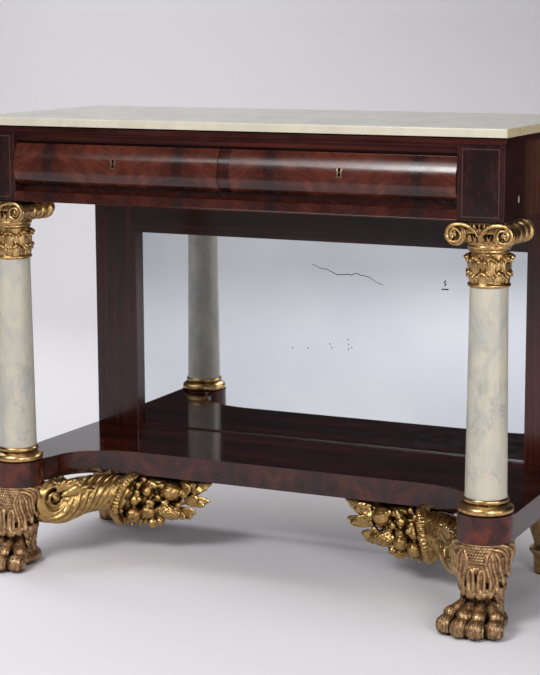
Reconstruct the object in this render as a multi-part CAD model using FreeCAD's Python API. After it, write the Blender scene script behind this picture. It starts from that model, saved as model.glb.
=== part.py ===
import FreeCAD, Part
import math
import os

# A pier table of about 1825: a marble slab on a mahogany frieze with two cushion-fronted drawers, carried in
# front by marble columns with gilt capitals and behind by a mirror frame, over a concave shelf on carved paw feet.
# Millimetres. X runs along the width, Y from the front to the wall, Z up. All pieces are drawn with y = 0 at the
# front of the frieze's corner blocks and are moved at the end, so that the origin is the middle of the footprint.
# Paired pieces are drawn for the right side and mirrored to the left.

# ---- whole table ----
TABLE_HEIGHT = 940.0
TABLE_WIDTH = 1131.0          # over the two corner blocks
TABLE_DEPTH = 495.0           # front of the corner blocks to the back of the carcase

# ---- marble top ----
TOP_THICK = 16.0
TOP_FRONT_OVERHANG = 6.0
TOP_SIDE_OVERHANG = 5.5
TOP_BACK_OVERHANG = 6.0
TOP_ROUNDING = 2.5

# ---- frieze ----
BLOCK_WIDTH = 91.5
BLOCK_DEPTH = 111.0
PANEL_THICK = 22.0            # end panels and back rail
MOULDING_HEIGHT = 10.0
MOULDING_THICK = 7.0
MOULDING_PROUD = 3.0
MOULDING_DROP = 3.0           # shadow gap between the moulding and the slab
UPPER_RAIL_FACE = 22.0        # below the moulding
UPPER_FILLET_SET = 1.5
UPPER_FILLET_HEIGHT = 5.0
UPPER_GROOVE_SET = 4.5
UPPER_GROOVE_HEIGHT = 2.5
UPPER_LIP_SET = 7.0
UPPER_LIP_HEIGHT = 8.0
UPPER_LIP_THICK = 13.0
UPPER_CHAMFER = 2.0
LOWER_HOLLOW = 11.5           # from the lower rail's face up to the drawer fronts
LOWER_RAIL_FACE = 20.5
LOWER_RAIL_SET = 1.0
LOWER_BEAD = 3.0
LOWER_BEAD_PROUD = 1.0
LOWER_STEP_SET = 28.0         # set-back of the lower rail's raised rear part
RAIL_DEPTH = 70.0
STRING_WIDTH = 1.4            # inlaid stringing
STRING_DEPTH = 1.0
STRING_SIDE_MARGIN = 10.0
STRING_END_MARGIN = 8.0
EDGE_ROUNDING = 1.0
TENON_LENGTH = 18.0
TENON_THICK = 14.0
TENON_HEIGHT = 12.0
TENON_SET = 24.0              # tenon's front face behind the blocks' front

# ---- drawers ----
MUNTIN_WIDTH = 24.0
MUNTIN_SET = 1.2              # muntin's cushion behind the drawer fronts'
FRONT_HEIGHT = 85.0
FRONT_THICK = 34.0            # blocks' front to the back of the drawer front
CUSHION_PROUD = 3.5
CUSHION_TOP_SET = 12.0        # the cushion's top edge behind the blocks' front
CUSHION_FLAT = 9.0
CUSHION_LOWER_RADIUS = 30.0
FRONT_GAP = 0.8               # beside a drawer front
FRONT_TOP_GAP = 1.0
FRONT_BOTTOM_GAP = 0.5
SIDE_THICK = 11.0
SIDE_GAP = 1.5
SIDE_HOUSING = 8.0            # how deep a side is housed in the drawer front
SIDE_BOTTOM_LIFT = 2.0        # side's lower edge above the front's lower edge
SIDE_TOP_DROP = 4.0
BOTTOM_THICK = 6.0
BOTTOM_LIFT = 7.0             # bottom board above the side's lower edge
GROOVE_DEPTH = 4.0
DRAWER_BACK_THICK = 12.0
DRAWER_END_GAP = 18.0         # closed drawer to the back rail
STOP_WIDTH = 30.0
STOP_DEPTH = 20.0
STOP_HEIGHT = 6.0
STOP_GAP = 0.2
STOP_INSET = 60.0             # from either end of the opening

# ---- what the drawers run on ----
RUNNER_THICK = 12.0
RUN_GAP = 0.2                 # drawer side above its runner
GUIDE_WIDTH = 12.0
GUIDE_HEIGHT = 18.0
KICKER_HEIGHT = 14.0
KICKER_GAP = 1.0
BEARER_WIDTH = 60.0

# ---- drawer locks ----
LOCK_WIDTH = 56.0
LOCK_HEIGHT = 42.0
LOCK_THICK = 12.0
LOCK_TOP_DROP = 0.4
BOLT_WIDTH = 18.0
BOLT_THICK = 6.0
BOLT_HEIGHT = 25.0
BOLT_GAP = 0.4
BOLT_TOP_DROP = 0.8
MORTISE_CLEAR = 3.0
MORTISE_DEPTH = 11.0
KEYHOLE_DROP = 30.4           # middle of the keyhole's round part below the top of the drawer front
KEYHOLE_HEAD_RADIUS = 3.2
KEYHOLE_FOOT_WIDTH = 5.6
KEYHOLE_WAIST_WIDTH = 3.6
KEYHOLE_LENGTH = 12.6         # middle of the round part to the foot
THREAD_BORDER = 3.0           # brass thread round the keyhole
THREAD_THICK = 2.0

# ---- columns ----
COLUMN_TOP_RADIUS = 35.7
COLUMN_FOOT_RADIUS = 40.0
SOCKET_DEPTH = 5.0
SOCKET_GAP = 0.3
ROD_RADIUS = 6.0
ROD_GAP = 0.4
ROD_IN_BLOCK = 55.0
ROD_IN_DRUM = 25.0
BASE_LOWER_RING = 15.0        # height of the large ring
BASE_HOLLOW = 5.0
BASE_UPPER_RING = 10.0        # height of the small ring
BASE_RING_PROUD = 13.0        # outside the shaft's foot
BASE_COLLAR_PROUD = 3.5
BASE_NECK_PROUD = 1.5
RING_ROUND = 3.0

# ---- capitals ----
CAPITAL_HEIGHT = 124.0
CAPITAL_DEPTH = 130.0
VOLUTE_SPACING = 93.5
VOLUTE_RADIUS = 22.5
VOLUTE_DROP = 1.0
BOLSTER_WAIST = 17.5
ASTRAGAL_PROUD = 4.8          # outside the shaft's top
ASTRAGAL_HEIGHT = 9.0
ASTRAGAL_ROUND = 2.0
BELL_PROUD = 0.8
LEAF_PROUD = 10.3
ECHINUS_PROUD = 7.3
ECHINUS_HEIGHT = 10.0
ABACUS_SET = 6.0              # its front behind the volutes' faces

# ---- shelf and the turned drums let into it ----
SHELF_HEIGHT = 218.0          # its top surface
SHELF_THICK = 49.0
SHELF_FRONT_SET = 219.0       # straight front behind the blocks' front
SHELF_SIDE_SET = 1.5
SHELF_SWEEP_WIDTH = 150.0     # concave quarter ellipse beside each column
SHELF_SWEEP_DEPTH = 95.0
SHELF_NECK_SET = 53.75        # outer end of the sweep from the column's axis
SHELF_SHOULDER_X = 42.0       # where the neck meets the drum, from the column's axis
SHELF_SHOULDER_Y = 34.0
DRUM_WALL = 14.0              # outside the shaft's foot
DRUM_PROUD = 3.0              # above the shelf
DRUM_BELOW = 1.0              # below the shelf
DRUM_SEAM = 0.2

# ---- mirror frame ----
FRAME_THICK = 28.0
FRAME_BACK_SET = 6.0
FRAME_SIDE_SET = 1.8
STILE_WIDTH = 104.3
FRAME_TOP_RAIL = 110.0
GLASS_SET = 17.0              # behind the frame's face
GLASS_THICK = 4.0
GLASS_LAP = 10.0
GLASS_GAP = 0.5
BOARD_LAP = 26.0
BOARD_COUNT = 3
BOARD_JOINT = 1.0
BEAD_SIZE = 3.0
SCREW_RADIUS = 2.2
SCREW_HEAD_RADIUS = 4.2
SCREW_HEAD_THICK = 2.2
SCREW_LENGTH = 17.0
SCREW_EDGE = 8.0              # from the boards' outer edge
SIDE_SCREW_COUNT = 3

# ---- feet ----
LEG_PROUD = 1.0               # top of the paw's leg outside the drum
LEG_SWELL = 1.5               # outside a straight taper
ANKLE_RADIUS = 45.0
ANKLE_HEIGHT = 62.0
PAW_REACH = 59.0              # toes in front of the blocks' front
TOE_RADIUS = 19.0
TOE_SINK = 2.0                # flat under a toe
TOE_SPREAD = 32.5
TOE_SWEEP = 13.0              # outer toes behind the middle ones
TOE_COUNT = 4
KNUCKLE_HEIGHT = 31.0
KNUCKLE_BACK = 30.0
KNUCKLE_CLOSER = 0.85         # knuckles' spread as a share of the toes'
PAD_HALF_WIDTH = 56.0
PAD_HALF_LENGTH = 60.0
PAD_HEIGHT = 42.0
PAD_LAP = 10.0                # leg let down into the pad
DOWEL_RADIUS = 12.0
DOWEL_GAP = 0.3
DOWEL_IN_FOOT = 30.0
DOWEL_ABOVE = 24.0
DOWEL_END = 1.0
REAR_FOOT_SIDE_SET = 43.5
REAR_FOOT_BACK_SET = 59.0

# ---- cornucopia brackets ----
SCROLL_RADIUS = 43.0
SCROLL_THICK = 34.0
SCROLL_IN = 71.75             # from the column's axis towards the middle
SCROLL_FORWARD = 135.0        # in front of the shelf's straight front
SCROLL_DROP = 39.0            # below the shelf
SCROLL_HEADING = 27.0         # the scroll's plane, turned from straight back towards the middle
CARVING_GAP = 0.3

# ---- small timber ----
BATTEN_WIDTH = 60.0
BATTEN_THICK = 16.0
GLUE_BLOCK = 26.0
GLUE_BLOCK_HEIGHT = 60.0
GLUE_BLOCK_DROP = 4.0

# ---- levels and lines that follow from the sizes above ----
LEFT = -1
RIGHT = 1
PAST = 1.0                    # how far a cut runs past a face
TINY = 1e-6
HALF_WIDTH = TABLE_WIDTH / 2
BACK_Y = TABLE_DEPTH
CARCASE_TOP = TABLE_HEIGHT - TOP_THICK
MOULDING_TOP = CARCASE_TOP - MOULDING_DROP
MOULDING_BOTTOM = MOULDING_TOP - MOULDING_HEIGHT
MOULDING_REBATE = MOULDING_THICK - MOULDING_PROUD
UPPER_RAIL_BOTTOM = MOULDING_BOTTOM - UPPER_RAIL_FACE
FRONT_TOP = UPPER_RAIL_BOTTOM - FRONT_TOP_GAP
FRONT_BOTTOM = FRONT_TOP - FRONT_HEIGHT
LOWER_RAIL_TOP = FRONT_BOTTOM - LOWER_HOLLOW
LOWER_STEP_TOP = FRONT_BOTTOM - FRONT_BOTTOM_GAP
FRIEZE_BOTTOM = LOWER_RAIL_TOP - LOWER_RAIL_FACE
BLOCK_INNER_X = HALF_WIDTH - BLOCK_WIDTH
COLUMN_X = HALF_WIDTH - BLOCK_WIDTH / 2
COLUMN_Y = BLOCK_DEPTH / 2
PANEL_INNER_X = HALF_WIDTH - PANEL_THICK
BACK_RAIL_Y = BACK_Y - PANEL_THICK
SHELF_BOTTOM = SHELF_HEIGHT - SHELF_THICK
DRUM_RADIUS = COLUMN_FOOT_RADIUS + DRUM_WALL
DRUM_TOP = SHELF_HEIGHT + DRUM_PROUD
DRUM_BOTTOM = SHELF_BOTTOM - DRUM_BELOW
LEG_RADIUS = DRUM_RADIUS + LEG_PROUD
REAR_FOOT_X = HALF_WIDTH - REAR_FOOT_SIDE_SET
REAR_FOOT_Y = BACK_Y - REAR_FOOT_BACK_SET
FRONT_LIMIT_Y = -PAW_REACH
BACK_LIMIT_Y = BACK_Y + TOP_BACK_OVERHANG
CENTRE_Y = (FRONT_LIMIT_Y + BACK_LIMIT_Y) / 2

parts = {}


# ---- drawing helpers ----
def vec(x, y, z):
    return FreeCAD.Vector(x, y, z)


def block(x0, x1, y0, y1, z0, z1):
    """A rectangular piece between two corners."""
    return Part.makeBox(x1 - x0, y1 - y0, z1 - z0, vec(x0, y0, z0))


def polygon(points):
    return Part.Face(Part.makePolygon(points + points[:1]))


def plan_prism(plan, z0, z1):
    """A plan outline of (x, y) points raised from z0 to z1."""
    return polygon([vec(x, y, z0) for x, y in plan]).extrude(vec(0, 0, z1 - z0))


def section_prism(section, x0, x1):
    """A section of (y, z) points run from x0 to x1."""
    return polygon([vec(x0, y, z) for y, z in section]).extrude(vec(x1 - x0, 0, 0))


def line(a, b):
    return Part.makeLine(vec(*a), vec(*b))


def arc(a, via, b):
    return Part.Arc(vec(*a), vec(*via), vec(*b)).toShape()


def filled(edges):
    return Part.Face(Part.Wire(Part.sortEdges(edges)[0]))


def turned(edges, x, y):
    """A turning from its half section in the XZ plane, with its axis upright at (x, y)."""
    solid = filled(edges).revolve(vec(0, 0, 0), vec(0, 0, 1), 360)
    solid.translate(vec(x, y, 0))
    return solid


def upright_rod(x, y, radius, z0, z1):
    return Part.makeCylinder(radius, z1 - z0, vec(x, y, z0), vec(0, 0, 1))


def mirrored(shape):
    """The same piece for the other side of the table."""
    return shape.mirror(vec(0, 0, 0), vec(1, 0, 0))


def both_sides(right_shapes):
    """One group of right-hand pieces and their left-hand twins."""
    return Part.makeCompound(right_shapes + [mirrored(shape) for shape in right_shapes])


def rounded(shape, radius, picks):
    """Rounds every edge whose box picks accepts."""
    return shape.makeFillet(radius, [edge for edge in shape.Edges if picks(edge.BoundBox)])


def is_upright(box):
    return box.XLength < TINY and box.YLength < TINY


def add_pair(name, right_shape):
    parts[name + "_right"] = right_shape
    parts[name + "_left"] = mirrored(right_shape)


# ---- marble top ----
def marble_top():
    half = HALF_WIDTH + TOP_SIDE_OVERHANG
    slab = block(-half, half, -TOP_FRONT_OVERHANG, BACK_LIMIT_Y, CARCASE_TOP, TABLE_HEIGHT)

    def shown_edge(box):
        on_top = box.ZMin > TABLE_HEIGHT - TINY and box.YMin < BACK_LIMIT_Y - TINY
        front_corner = is_upright(box) and box.YMax < 0
        return on_top or front_corner

    return rounded(slab, TOP_ROUNDING, shown_edge)


parts["marble_top"] = marble_top()


# ---- frieze mouldings, mitred at the front corners ----
def frieze_moulding(plan):
    return plan_prism(plan, MOULDING_BOTTOM, MOULDING_TOP)


MOULDING_OUT_X = HALF_WIDTH + MOULDING_PROUD
MOULDING_IN_X = HALF_WIDTH - MOULDING_REBATE
mitre_out = (MOULDING_OUT_X, -MOULDING_PROUD)
mitre_in = (MOULDING_IN_X, MOULDING_REBATE)
left_mitre_out = (-MOULDING_OUT_X, -MOULDING_PROUD)
left_mitre_in = (-MOULDING_IN_X, MOULDING_REBATE)
parts["frieze_moulding_front"] = frieze_moulding([left_mitre_out, mitre_out, mitre_in, left_mitre_in])
add_pair(
    "frieze_moulding_end",
    frieze_moulding([mitre_out, (MOULDING_OUT_X, BACK_Y), (MOULDING_IN_X, BACK_Y), mitre_in]),
)


# ---- corner blocks with their inlaid stringing ----
def string_frame():
    """The stringing's closed frame, let in flush with the right block's face."""
    x0 = BLOCK_INNER_X + STRING_SIDE_MARGIN
    x1 = HALF_WIDTH - STRING_SIDE_MARGIN
    z0 = FRIEZE_BOTTOM + STRING_END_MARGIN
    z1 = MOULDING_BOTTOM - STRING_END_MARGIN
    w = STRING_WIDTH
    outer = block(x0, x1, 0, STRING_DEPTH, z0, z1)
    return outer.cut(block(x0 + w, x1 - w, 0, STRING_DEPTH, z0 + w, z1 - w))


def moulding_rebate():
    """What the mouldings' rebates take off the top of the carcase."""
    plan = [
        (-HALF_WIDTH, 0),
        (HALF_WIDTH, 0),
        (HALF_WIDTH, BACK_Y),
        (MOULDING_IN_X, BACK_Y),
        mitre_in,
        left_mitre_in,
        (-HALF_WIDTH, MOULDING_REBATE),
    ]
    return plan_prism(plan, MOULDING_BOTTOM, CARCASE_TOP)


def rail_tenons(z0, z1):
    """A bar through a front rail that stands out of its ends as the two tenons."""
    middle = (z0 + z1) / 2
    out = BLOCK_INNER_X + TENON_LENGTH
    low = middle - TENON_HEIGHT / 2
    return block(-out, out, TENON_SET, TENON_SET + TENON_THICK, low, low + TENON_HEIGHT)


def rod_hole(z0, z1):
    return upright_rod(COLUMN_X, COLUMN_Y, ROD_RADIUS + ROD_GAP, z0, z1)


UPPER_TENONS = rail_tenons(UPPER_RAIL_BOTTOM, MOULDING_BOTTOM)
LOWER_TENONS = rail_tenons(FRIEZE_BOTTOM, LOWER_RAIL_TOP)
ROD_TOP = FRIEZE_BOTTOM + ROD_IN_BLOCK


def corner_block():
    body = block(BLOCK_INNER_X, HALF_WIDTH, 0, BLOCK_DEPTH, FRIEZE_BOTTOM, CARCASE_TOP)
    body = rounded(body, EDGE_ROUNDING, lambda box: is_upright(box) and box.YMax < TINY)
    body = body.cut(moulding_rebate()).cut(string_frame())
    return body.cut(rod_hole(FRIEZE_BOTTOM, ROD_TOP + PAST)).cut(UPPER_TENONS).cut(LOWER_TENONS)


add_pair("corner_block", corner_block())
parts["block_stringing"] = both_sides([string_frame()])


# ---- end panels, back rail and the battens under the marble ----
def end_panel():
    panel = block(PANEL_INNER_X, HALF_WIDTH, BLOCK_DEPTH, BACK_Y, FRIEZE_BOTTOM, CARCASE_TOP)
    return panel.cut(moulding_rebate())


def batten():
    x0 = (BLOCK_INNER_X - BATTEN_WIDTH) / 2
    return block(x0, x0 + BATTEN_WIDTH, RAIL_DEPTH, BACK_RAIL_Y, CARCASE_TOP - BATTEN_THICK, CARCASE_TOP)


def glue_block(y, way):
    """A three-cornered block rubbed into an inside corner of the carcase."""
    z1 = CARCASE_TOP - GLUE_BLOCK_DROP
    plan = [(PANEL_INNER_X, y), (PANEL_INNER_X - GLUE_BLOCK, y), (PANEL_INNER_X, y + way * GLUE_BLOCK)]
    return plan_prism(plan, z1 - GLUE_BLOCK_HEIGHT, z1)


add_pair("frieze_end_panel", end_panel())
parts["frieze_back_rail"] = block(
    -PANEL_INNER_X, PANEL_INNER_X, BACK_RAIL_Y, BACK_Y, FRIEZE_BOTTOM, CARCASE_TOP
)
parts["marble_battens"] = both_sides([batten()])
parts["glue_blocks"] = both_sides([glue_block(BLOCK_DEPTH, 1), glue_block(BACK_RAIL_Y, -1)])


# ---- front rails ----
def upper_rail():
    """Stepped below the moulding: a fillet, a groove and a lip over the dark gap above the drawers."""
    fillet_bottom = MOULDING_BOTTOM - UPPER_FILLET_HEIGHT
    groove_bottom = fillet_bottom - UPPER_GROOVE_HEIGHT
    lip_bottom = groove_bottom - UPPER_LIP_HEIGHT
    lip_back = UPPER_LIP_SET + UPPER_LIP_THICK
    section = [
        (MOULDING_REBATE, CARCASE_TOP),
        (MOULDING_REBATE, MOULDING_BOTTOM),
        (UPPER_FILLET_SET, MOULDING_BOTTOM),
        (UPPER_FILLET_SET, fillet_bottom),
        (UPPER_GROOVE_SET, fillet_bottom),
        (UPPER_GROOVE_SET, groove_bottom),
        (UPPER_LIP_SET, groove_bottom),
        (UPPER_LIP_SET, lip_bottom),
        (UPPER_LIP_SET + UPPER_CHAMFER, lip_bottom - UPPER_CHAMFER),
        (lip_back, lip_bottom - UPPER_CHAMFER),
        (lip_back, UPPER_RAIL_BOTTOM),
        (RAIL_DEPTH, UPPER_RAIL_BOTTOM),
        (RAIL_DEPTH, CARCASE_TOP),
    ]
    return section_prism(section, -BLOCK_INNER_X, BLOCK_INNER_X).fuse(UPPER_TENONS).removeSplitter()


def lower_rail():
    """A flat face with a small bead along its foot, and a raised rear part behind the dark hollow."""
    bead_face = LOWER_RAIL_SET - LOWER_BEAD_PROUD
    section = [
        (LOWER_RAIL_SET, FRIEZE_BOTTOM),
        (bead_face, FRIEZE_BOTTOM + LOWER_BEAD_PROUD),
        (bead_face, FRIEZE_BOTTOM + LOWER_BEAD - LOWER_BEAD_PROUD),
        (LOWER_RAIL_SET, FRIEZE_BOTTOM + LOWER_BEAD),
        (LOWER_RAIL_SET, LOWER_RAIL_TOP),
        (LOWER_STEP_SET, LOWER_RAIL_TOP),
        (LOWER_STEP_SET, LOWER_STEP_TOP),
        (RAIL_DEPTH, LOWER_STEP_TOP),
        (RAIL_DEPTH, FRIEZE_BOTTOM),
    ]
    return section_prism(section, -BLOCK_INNER_X, BLOCK_INNER_X).fuse(LOWER_TENONS).removeSplitter()


# ---- the cushion section of the drawer fronts and of the muntin between them ----
def cushion(x0, x1, front_y, back_y):
    """A shallow arc down to a flat, then a quarter round; foremost at front_y, and flat at back_y."""
    top_y = front_y + CUSHION_PROUD + CUSHION_TOP_SET
    turn_z = FRONT_BOTTOM + CUSHION_LOWER_RADIUS
    break_z = turn_z + CUSHION_FLAT
    low_y = front_y + CUSHION_LOWER_RADIUS
    arc_depth = top_y - front_y
    arc_height = FRONT_TOP - break_z
    arc_radius = (arc_depth ** 2 + arc_height ** 2) / (2 * arc_depth)
    via_y = front_y + arc_radius - math.sqrt(arc_radius ** 2 - (arc_height / 2) ** 2)
    corner = CUSHION_LOWER_RADIUS * (1 - math.sqrt(0.5))
    edges = [
        arc((x0, top_y, FRONT_TOP), (x0, via_y, (FRONT_TOP + break_z) / 2), (x0, front_y, break_z)),
        line((x0, front_y, break_z), (x0, front_y, turn_z)),
        arc((x0, front_y, turn_z), (x0, front_y + corner, FRONT_BOTTOM + corner), (x0, low_y, FRONT_BOTTOM)),
        line((x0, low_y, FRONT_BOTTOM), (x0, back_y, FRONT_BOTTOM)),
        line((x0, back_y, FRONT_BOTTOM), (x0, back_y, FRONT_TOP)),
        line((x0, back_y, FRONT_TOP), (x0, top_y, FRONT_TOP)),
    ]
    return filled(edges).extrude(vec(x1 - x0, 0, 0))


CUSHION_FRONT_Y = -CUSHION_PROUD
MUNTIN_HALF = MUNTIN_WIDTH / 2
KEY_X = (MUNTIN_HALF + BLOCK_INNER_X) / 2
KEY_Z = FRONT_TOP - KEYHOLE_DROP
LOCK_Y = FRONT_THICK - LOCK_THICK
LOCK_MID_Y = FRONT_THICK - LOCK_THICK / 2


def bolt_mortise():
    half = BOLT_WIDTH / 2 + MORTISE_CLEAR
    deep = BOLT_THICK / 2 + MORTISE_CLEAR
    z1 = UPPER_RAIL_BOTTOM + MORTISE_DEPTH
    return block(KEY_X - half, KEY_X + half, LOCK_MID_Y - deep, LOCK_MID_Y + deep, UPPER_RAIL_BOTTOM, z1)


def drawer_muntin():
    """The upright between the drawers, faced with their section and standing between the two rails."""
    face = cushion(-MUNTIN_HALF, MUNTIN_HALF, CUSHION_FRONT_Y + MUNTIN_SET, LOWER_STEP_SET + MUNTIN_SET)
    post = block(-MUNTIN_HALF, MUNTIN_HALF, LOWER_STEP_SET, RAIL_DEPTH, LOWER_STEP_TOP, UPPER_RAIL_BOTTOM)
    return face.fuse(post).removeSplitter()


parts["frieze_upper_rail"] = upper_rail().cut(both_sides([bolt_mortise()]))
parts["frieze_lower_rail"] = lower_rail()
parts["drawer_muntin"] = drawer_muntin()

# ---- runners, guides, kickers and stops ----
SIDE_BOTTOM = FRONT_BOTTOM + SIDE_BOTTOM_LIFT
SIDE_TOP = FRONT_TOP - SIDE_TOP_DROP
RUNNER_TOP = SIDE_BOTTOM - RUN_GAP
RUNNER_BOTTOM = RUNNER_TOP - RUNNER_THICK
GUIDE_TOP = RUNNER_TOP + GUIDE_HEIGHT
DRAWER_BACK_Y = BACK_RAIL_Y - DRAWER_END_GAP
OPENING_INNER = MUNTIN_HALF + SIDE_GAP
OPENING_OUTER = BLOCK_INNER_X - SIDE_GAP


def outer_runner():
    """The board under a drawer's outer side."""
    inner = OPENING_OUTER - SIDE_THICK - GUIDE_WIDTH
    beside_block = block(inner, BLOCK_INNER_X, RAIL_DEPTH, BLOCK_DEPTH, RUNNER_BOTTOM, RUNNER_TOP)
    behind_block = block(inner, PANEL_INNER_X, BLOCK_DEPTH, BACK_RAIL_Y, RUNNER_BOTTOM, RUNNER_TOP)
    return beside_block.fuse(behind_block).removeSplitter()


def kicker(x0, x1):
    """A strip that keeps an open drawer from tipping."""
    z0 = SIDE_TOP + KICKER_GAP
    return block(x0, x1, RAIL_DEPTH, BACK_RAIL_Y, z0, z0 + KICKER_HEIGHT)


def drawer_stop(x0):
    y0 = FRONT_THICK + STOP_GAP
    return block(x0, x0 + STOP_WIDTH, y0, y0 + STOP_DEPTH, LOWER_STEP_TOP, LOWER_STEP_TOP + STOP_HEIGHT)


half_bearer = BEARER_WIDTH / 2
parts["drawer_runners"] = both_sides([outer_runner()])
parts["drawer_guides"] = both_sides([
    block(BLOCK_INNER_X, BLOCK_INNER_X + GUIDE_WIDTH, BLOCK_DEPTH, BACK_RAIL_Y, RUNNER_TOP, GUIDE_TOP)
])
parts["drawer_centre_bearer"] = Part.makeCompound([
    block(-half_bearer, half_bearer, RAIL_DEPTH, BACK_RAIL_Y, RUNNER_BOTTOM, RUNNER_TOP),
    block(-MUNTIN_HALF, MUNTIN_HALF, RAIL_DEPTH, BACK_RAIL_Y, RUNNER_TOP, GUIDE_TOP),
])
parts["drawer_kickers"] = Part.makeCompound([
    kicker(-half_bearer, half_bearer),
    both_sides([kicker(OPENING_OUTER - SIDE_THICK, BLOCK_INNER_X)]),
])
parts["drawer_stops"] = both_sides([
    drawer_stop(MUNTIN_HALF + STOP_INSET),
    drawer_stop(BLOCK_INNER_X - STOP_INSET - STOP_WIDTH),
])


# ---- locks ----
def keyhole(border, y0, y1):
    """The keyhole, widened all round by border, from y0 to y1."""
    waist = KEYHOLE_WAIST_WIDTH / 2 + border
    foot = KEYHOLE_FOOT_WIDTH / 2 + border
    waist_z = KEY_Z - KEYHOLE_LENGTH / 2
    foot_z = KEY_Z - KEYHOLE_LENGTH - border
    outline = [
        vec(KEY_X - waist, y0, KEY_Z),
        vec(KEY_X - waist, y0, waist_z),
        vec(KEY_X - foot, y0, foot_z),
        vec(KEY_X + foot, y0, foot_z),
        vec(KEY_X + waist, y0, waist_z),
        vec(KEY_X + waist, y0, KEY_Z),
    ]
    slot = polygon(outline).extrude(vec(0, y1 - y0, 0))
    head = Part.makeCylinder(KEYHOLE_HEAD_RADIUS + border, y1 - y0, vec(KEY_X, y0, KEY_Z), vec(0, 1, 0))
    return head.fuse(slot).removeSplitter()


def bolt_prism(gap, z0, z1):
    """The bolt's section, widened all round by gap."""
    half = BOLT_WIDTH / 2 + gap
    deep = BOLT_THICK / 2 + gap
    return block(KEY_X - half, KEY_X + half, LOCK_MID_Y - deep, LOCK_MID_Y + deep, z0, z1)


def lock_recess(z1):
    half = LOCK_WIDTH / 2
    return block(KEY_X - half, KEY_X + half, LOCK_Y, FRONT_THICK, LOCK_TOP - LOCK_HEIGHT, z1)


LOCK_TOP = FRONT_TOP - LOCK_TOP_DROP
BOLT_TOP = FRONT_TOP - BOLT_TOP_DROP
BOLT_BOTTOM = BOLT_TOP - BOLT_HEIGHT


def lock_case():
    """A till lock with the channel that its bolt slides in."""
    channel = bolt_prism(BOLT_GAP, BOLT_BOTTOM - BOLT_GAP, LOCK_TOP)
    return lock_recess(LOCK_TOP).cut(channel).cut(keyhole(0, LOCK_Y, LOCK_MID_Y))


# ---- drawers ----
SIDE_FRONT_Y = FRONT_THICK - SIDE_HOUSING
BOTTOM_Z = SIDE_BOTTOM + BOTTOM_LIFT
BOTTOM_TOP = BOTTOM_Z + BOTTOM_THICK
BOX_INNER = OPENING_INNER + SIDE_THICK
BOX_OUTER = OPENING_OUTER - SIDE_THICK


def drawer_side(x0):
    return block(x0, x0 + SIDE_THICK, SIDE_FRONT_Y, DRAWER_BACK_Y, SIDE_BOTTOM, SIDE_TOP)


def drawer_bottom():
    """The board that slides into grooves in the sides and the front, under the back."""
    y0 = FRONT_THICK - GROOVE_DEPTH
    return block(BOX_INNER - GROOVE_DEPTH, BOX_OUTER + GROOVE_DEPTH, y0, DRAWER_BACK_Y, BOTTOM_Z, BOTTOM_TOP)


def drawer_blank():
    return cushion(MUNTIN_HALF + FRONT_GAP, BLOCK_INNER_X - FRONT_GAP, CUSHION_FRONT_Y, FRONT_THICK)


def thread_blank():
    """The space for the brass thread round the keyhole."""
    return keyhole(THREAD_BORDER, CUSHION_FRONT_Y - PAST, CUSHION_FRONT_Y + THREAD_THICK)


inner_side = drawer_side(OPENING_INNER)
outer_side = drawer_side(BOX_OUTER)
bottom = drawer_bottom()
through_keyhole = keyhole(0, CUSHION_FRONT_Y - PAST, LOCK_Y)
front = drawer_blank().cut(lock_recess(FRONT_TOP)).cut(bottom).cut(inner_side).cut(outer_side)
add_pair("drawer_front", front.cut(through_keyhole).cut(thread_blank()))
add_pair("drawer_outer_side", outer_side.cut(bottom))
add_pair("drawer_inner_side", inner_side.cut(bottom))
add_pair("drawer_back", block(
    BOX_INNER, BOX_OUTER, DRAWER_BACK_Y - DRAWER_BACK_THICK, DRAWER_BACK_Y, BOTTOM_TOP, SIDE_TOP
))
add_pair("drawer_bottom", bottom)
add_pair("lock_case", lock_case())
add_pair("lock_bolt", bolt_prism(0, BOLT_BOTTOM, BOLT_TOP))
add_pair("escutcheon", drawer_blank().common(thread_blank()).cut(through_keyhole))

# ---- columns ----
CAPITAL_BOTTOM = FRIEZE_BOTTOM - CAPITAL_HEIGHT
NECK_BOTTOM = DRUM_TOP + BASE_LOWER_RING
NECK_TOP = NECK_BOTTOM + BASE_HOLLOW
BASE_TOP = NECK_TOP + BASE_UPPER_RING
ROD_BOTTOM = DRUM_TOP - ROD_IN_DRUM


def column_shaft():
    z0 = BASE_TOP - SOCKET_DEPTH
    z1 = CAPITAL_BOTTOM + SOCKET_DEPTH
    shaft = Part.makeCone(COLUMN_FOOT_RADIUS, COLUMN_TOP_RADIUS, z1 - z0, vec(COLUMN_X, COLUMN_Y, z0))
    return shaft.cut(rod_hole(z0, z1))


def column_base():
    """A gilt turning of two rings with a hollow between them, and a shallow socket for the shaft."""
    ring = COLUMN_FOOT_RADIUS + BASE_RING_PROUD
    collar = COLUMN_FOOT_RADIUS + BASE_COLLAR_PROUD
    neck = COLUMN_FOOT_RADIUS + BASE_NECK_PROUD
    flat = ring - RING_ROUND
    edges = [
        line((0, 0, DRUM_TOP), (flat, 0, DRUM_TOP)),
        arc((flat, 0, DRUM_TOP), (ring, 0, (DRUM_TOP + NECK_BOTTOM) / 2), (flat, 0, NECK_BOTTOM)),
        line((flat, 0, NECK_BOTTOM), (neck, 0, NECK_TOP)),
        arc((neck, 0, NECK_TOP), (collar, 0, (NECK_TOP + BASE_TOP) / 2), (neck, 0, BASE_TOP)),
        line((neck, 0, BASE_TOP), (0, 0, BASE_TOP)),
        line((0, 0, BASE_TOP), (0, 0, DRUM_TOP)),
    ]
    socket = upright_rod(COLUMN_X, COLUMN_Y, COLUMN_FOOT_RADIUS + SOCKET_GAP, BASE_TOP - SOCKET_DEPTH, BASE_TOP)
    return turned(edges, COLUMN_X, COLUMN_Y).cut(socket).cut(rod_hole(DRUM_TOP, BASE_TOP))


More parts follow.
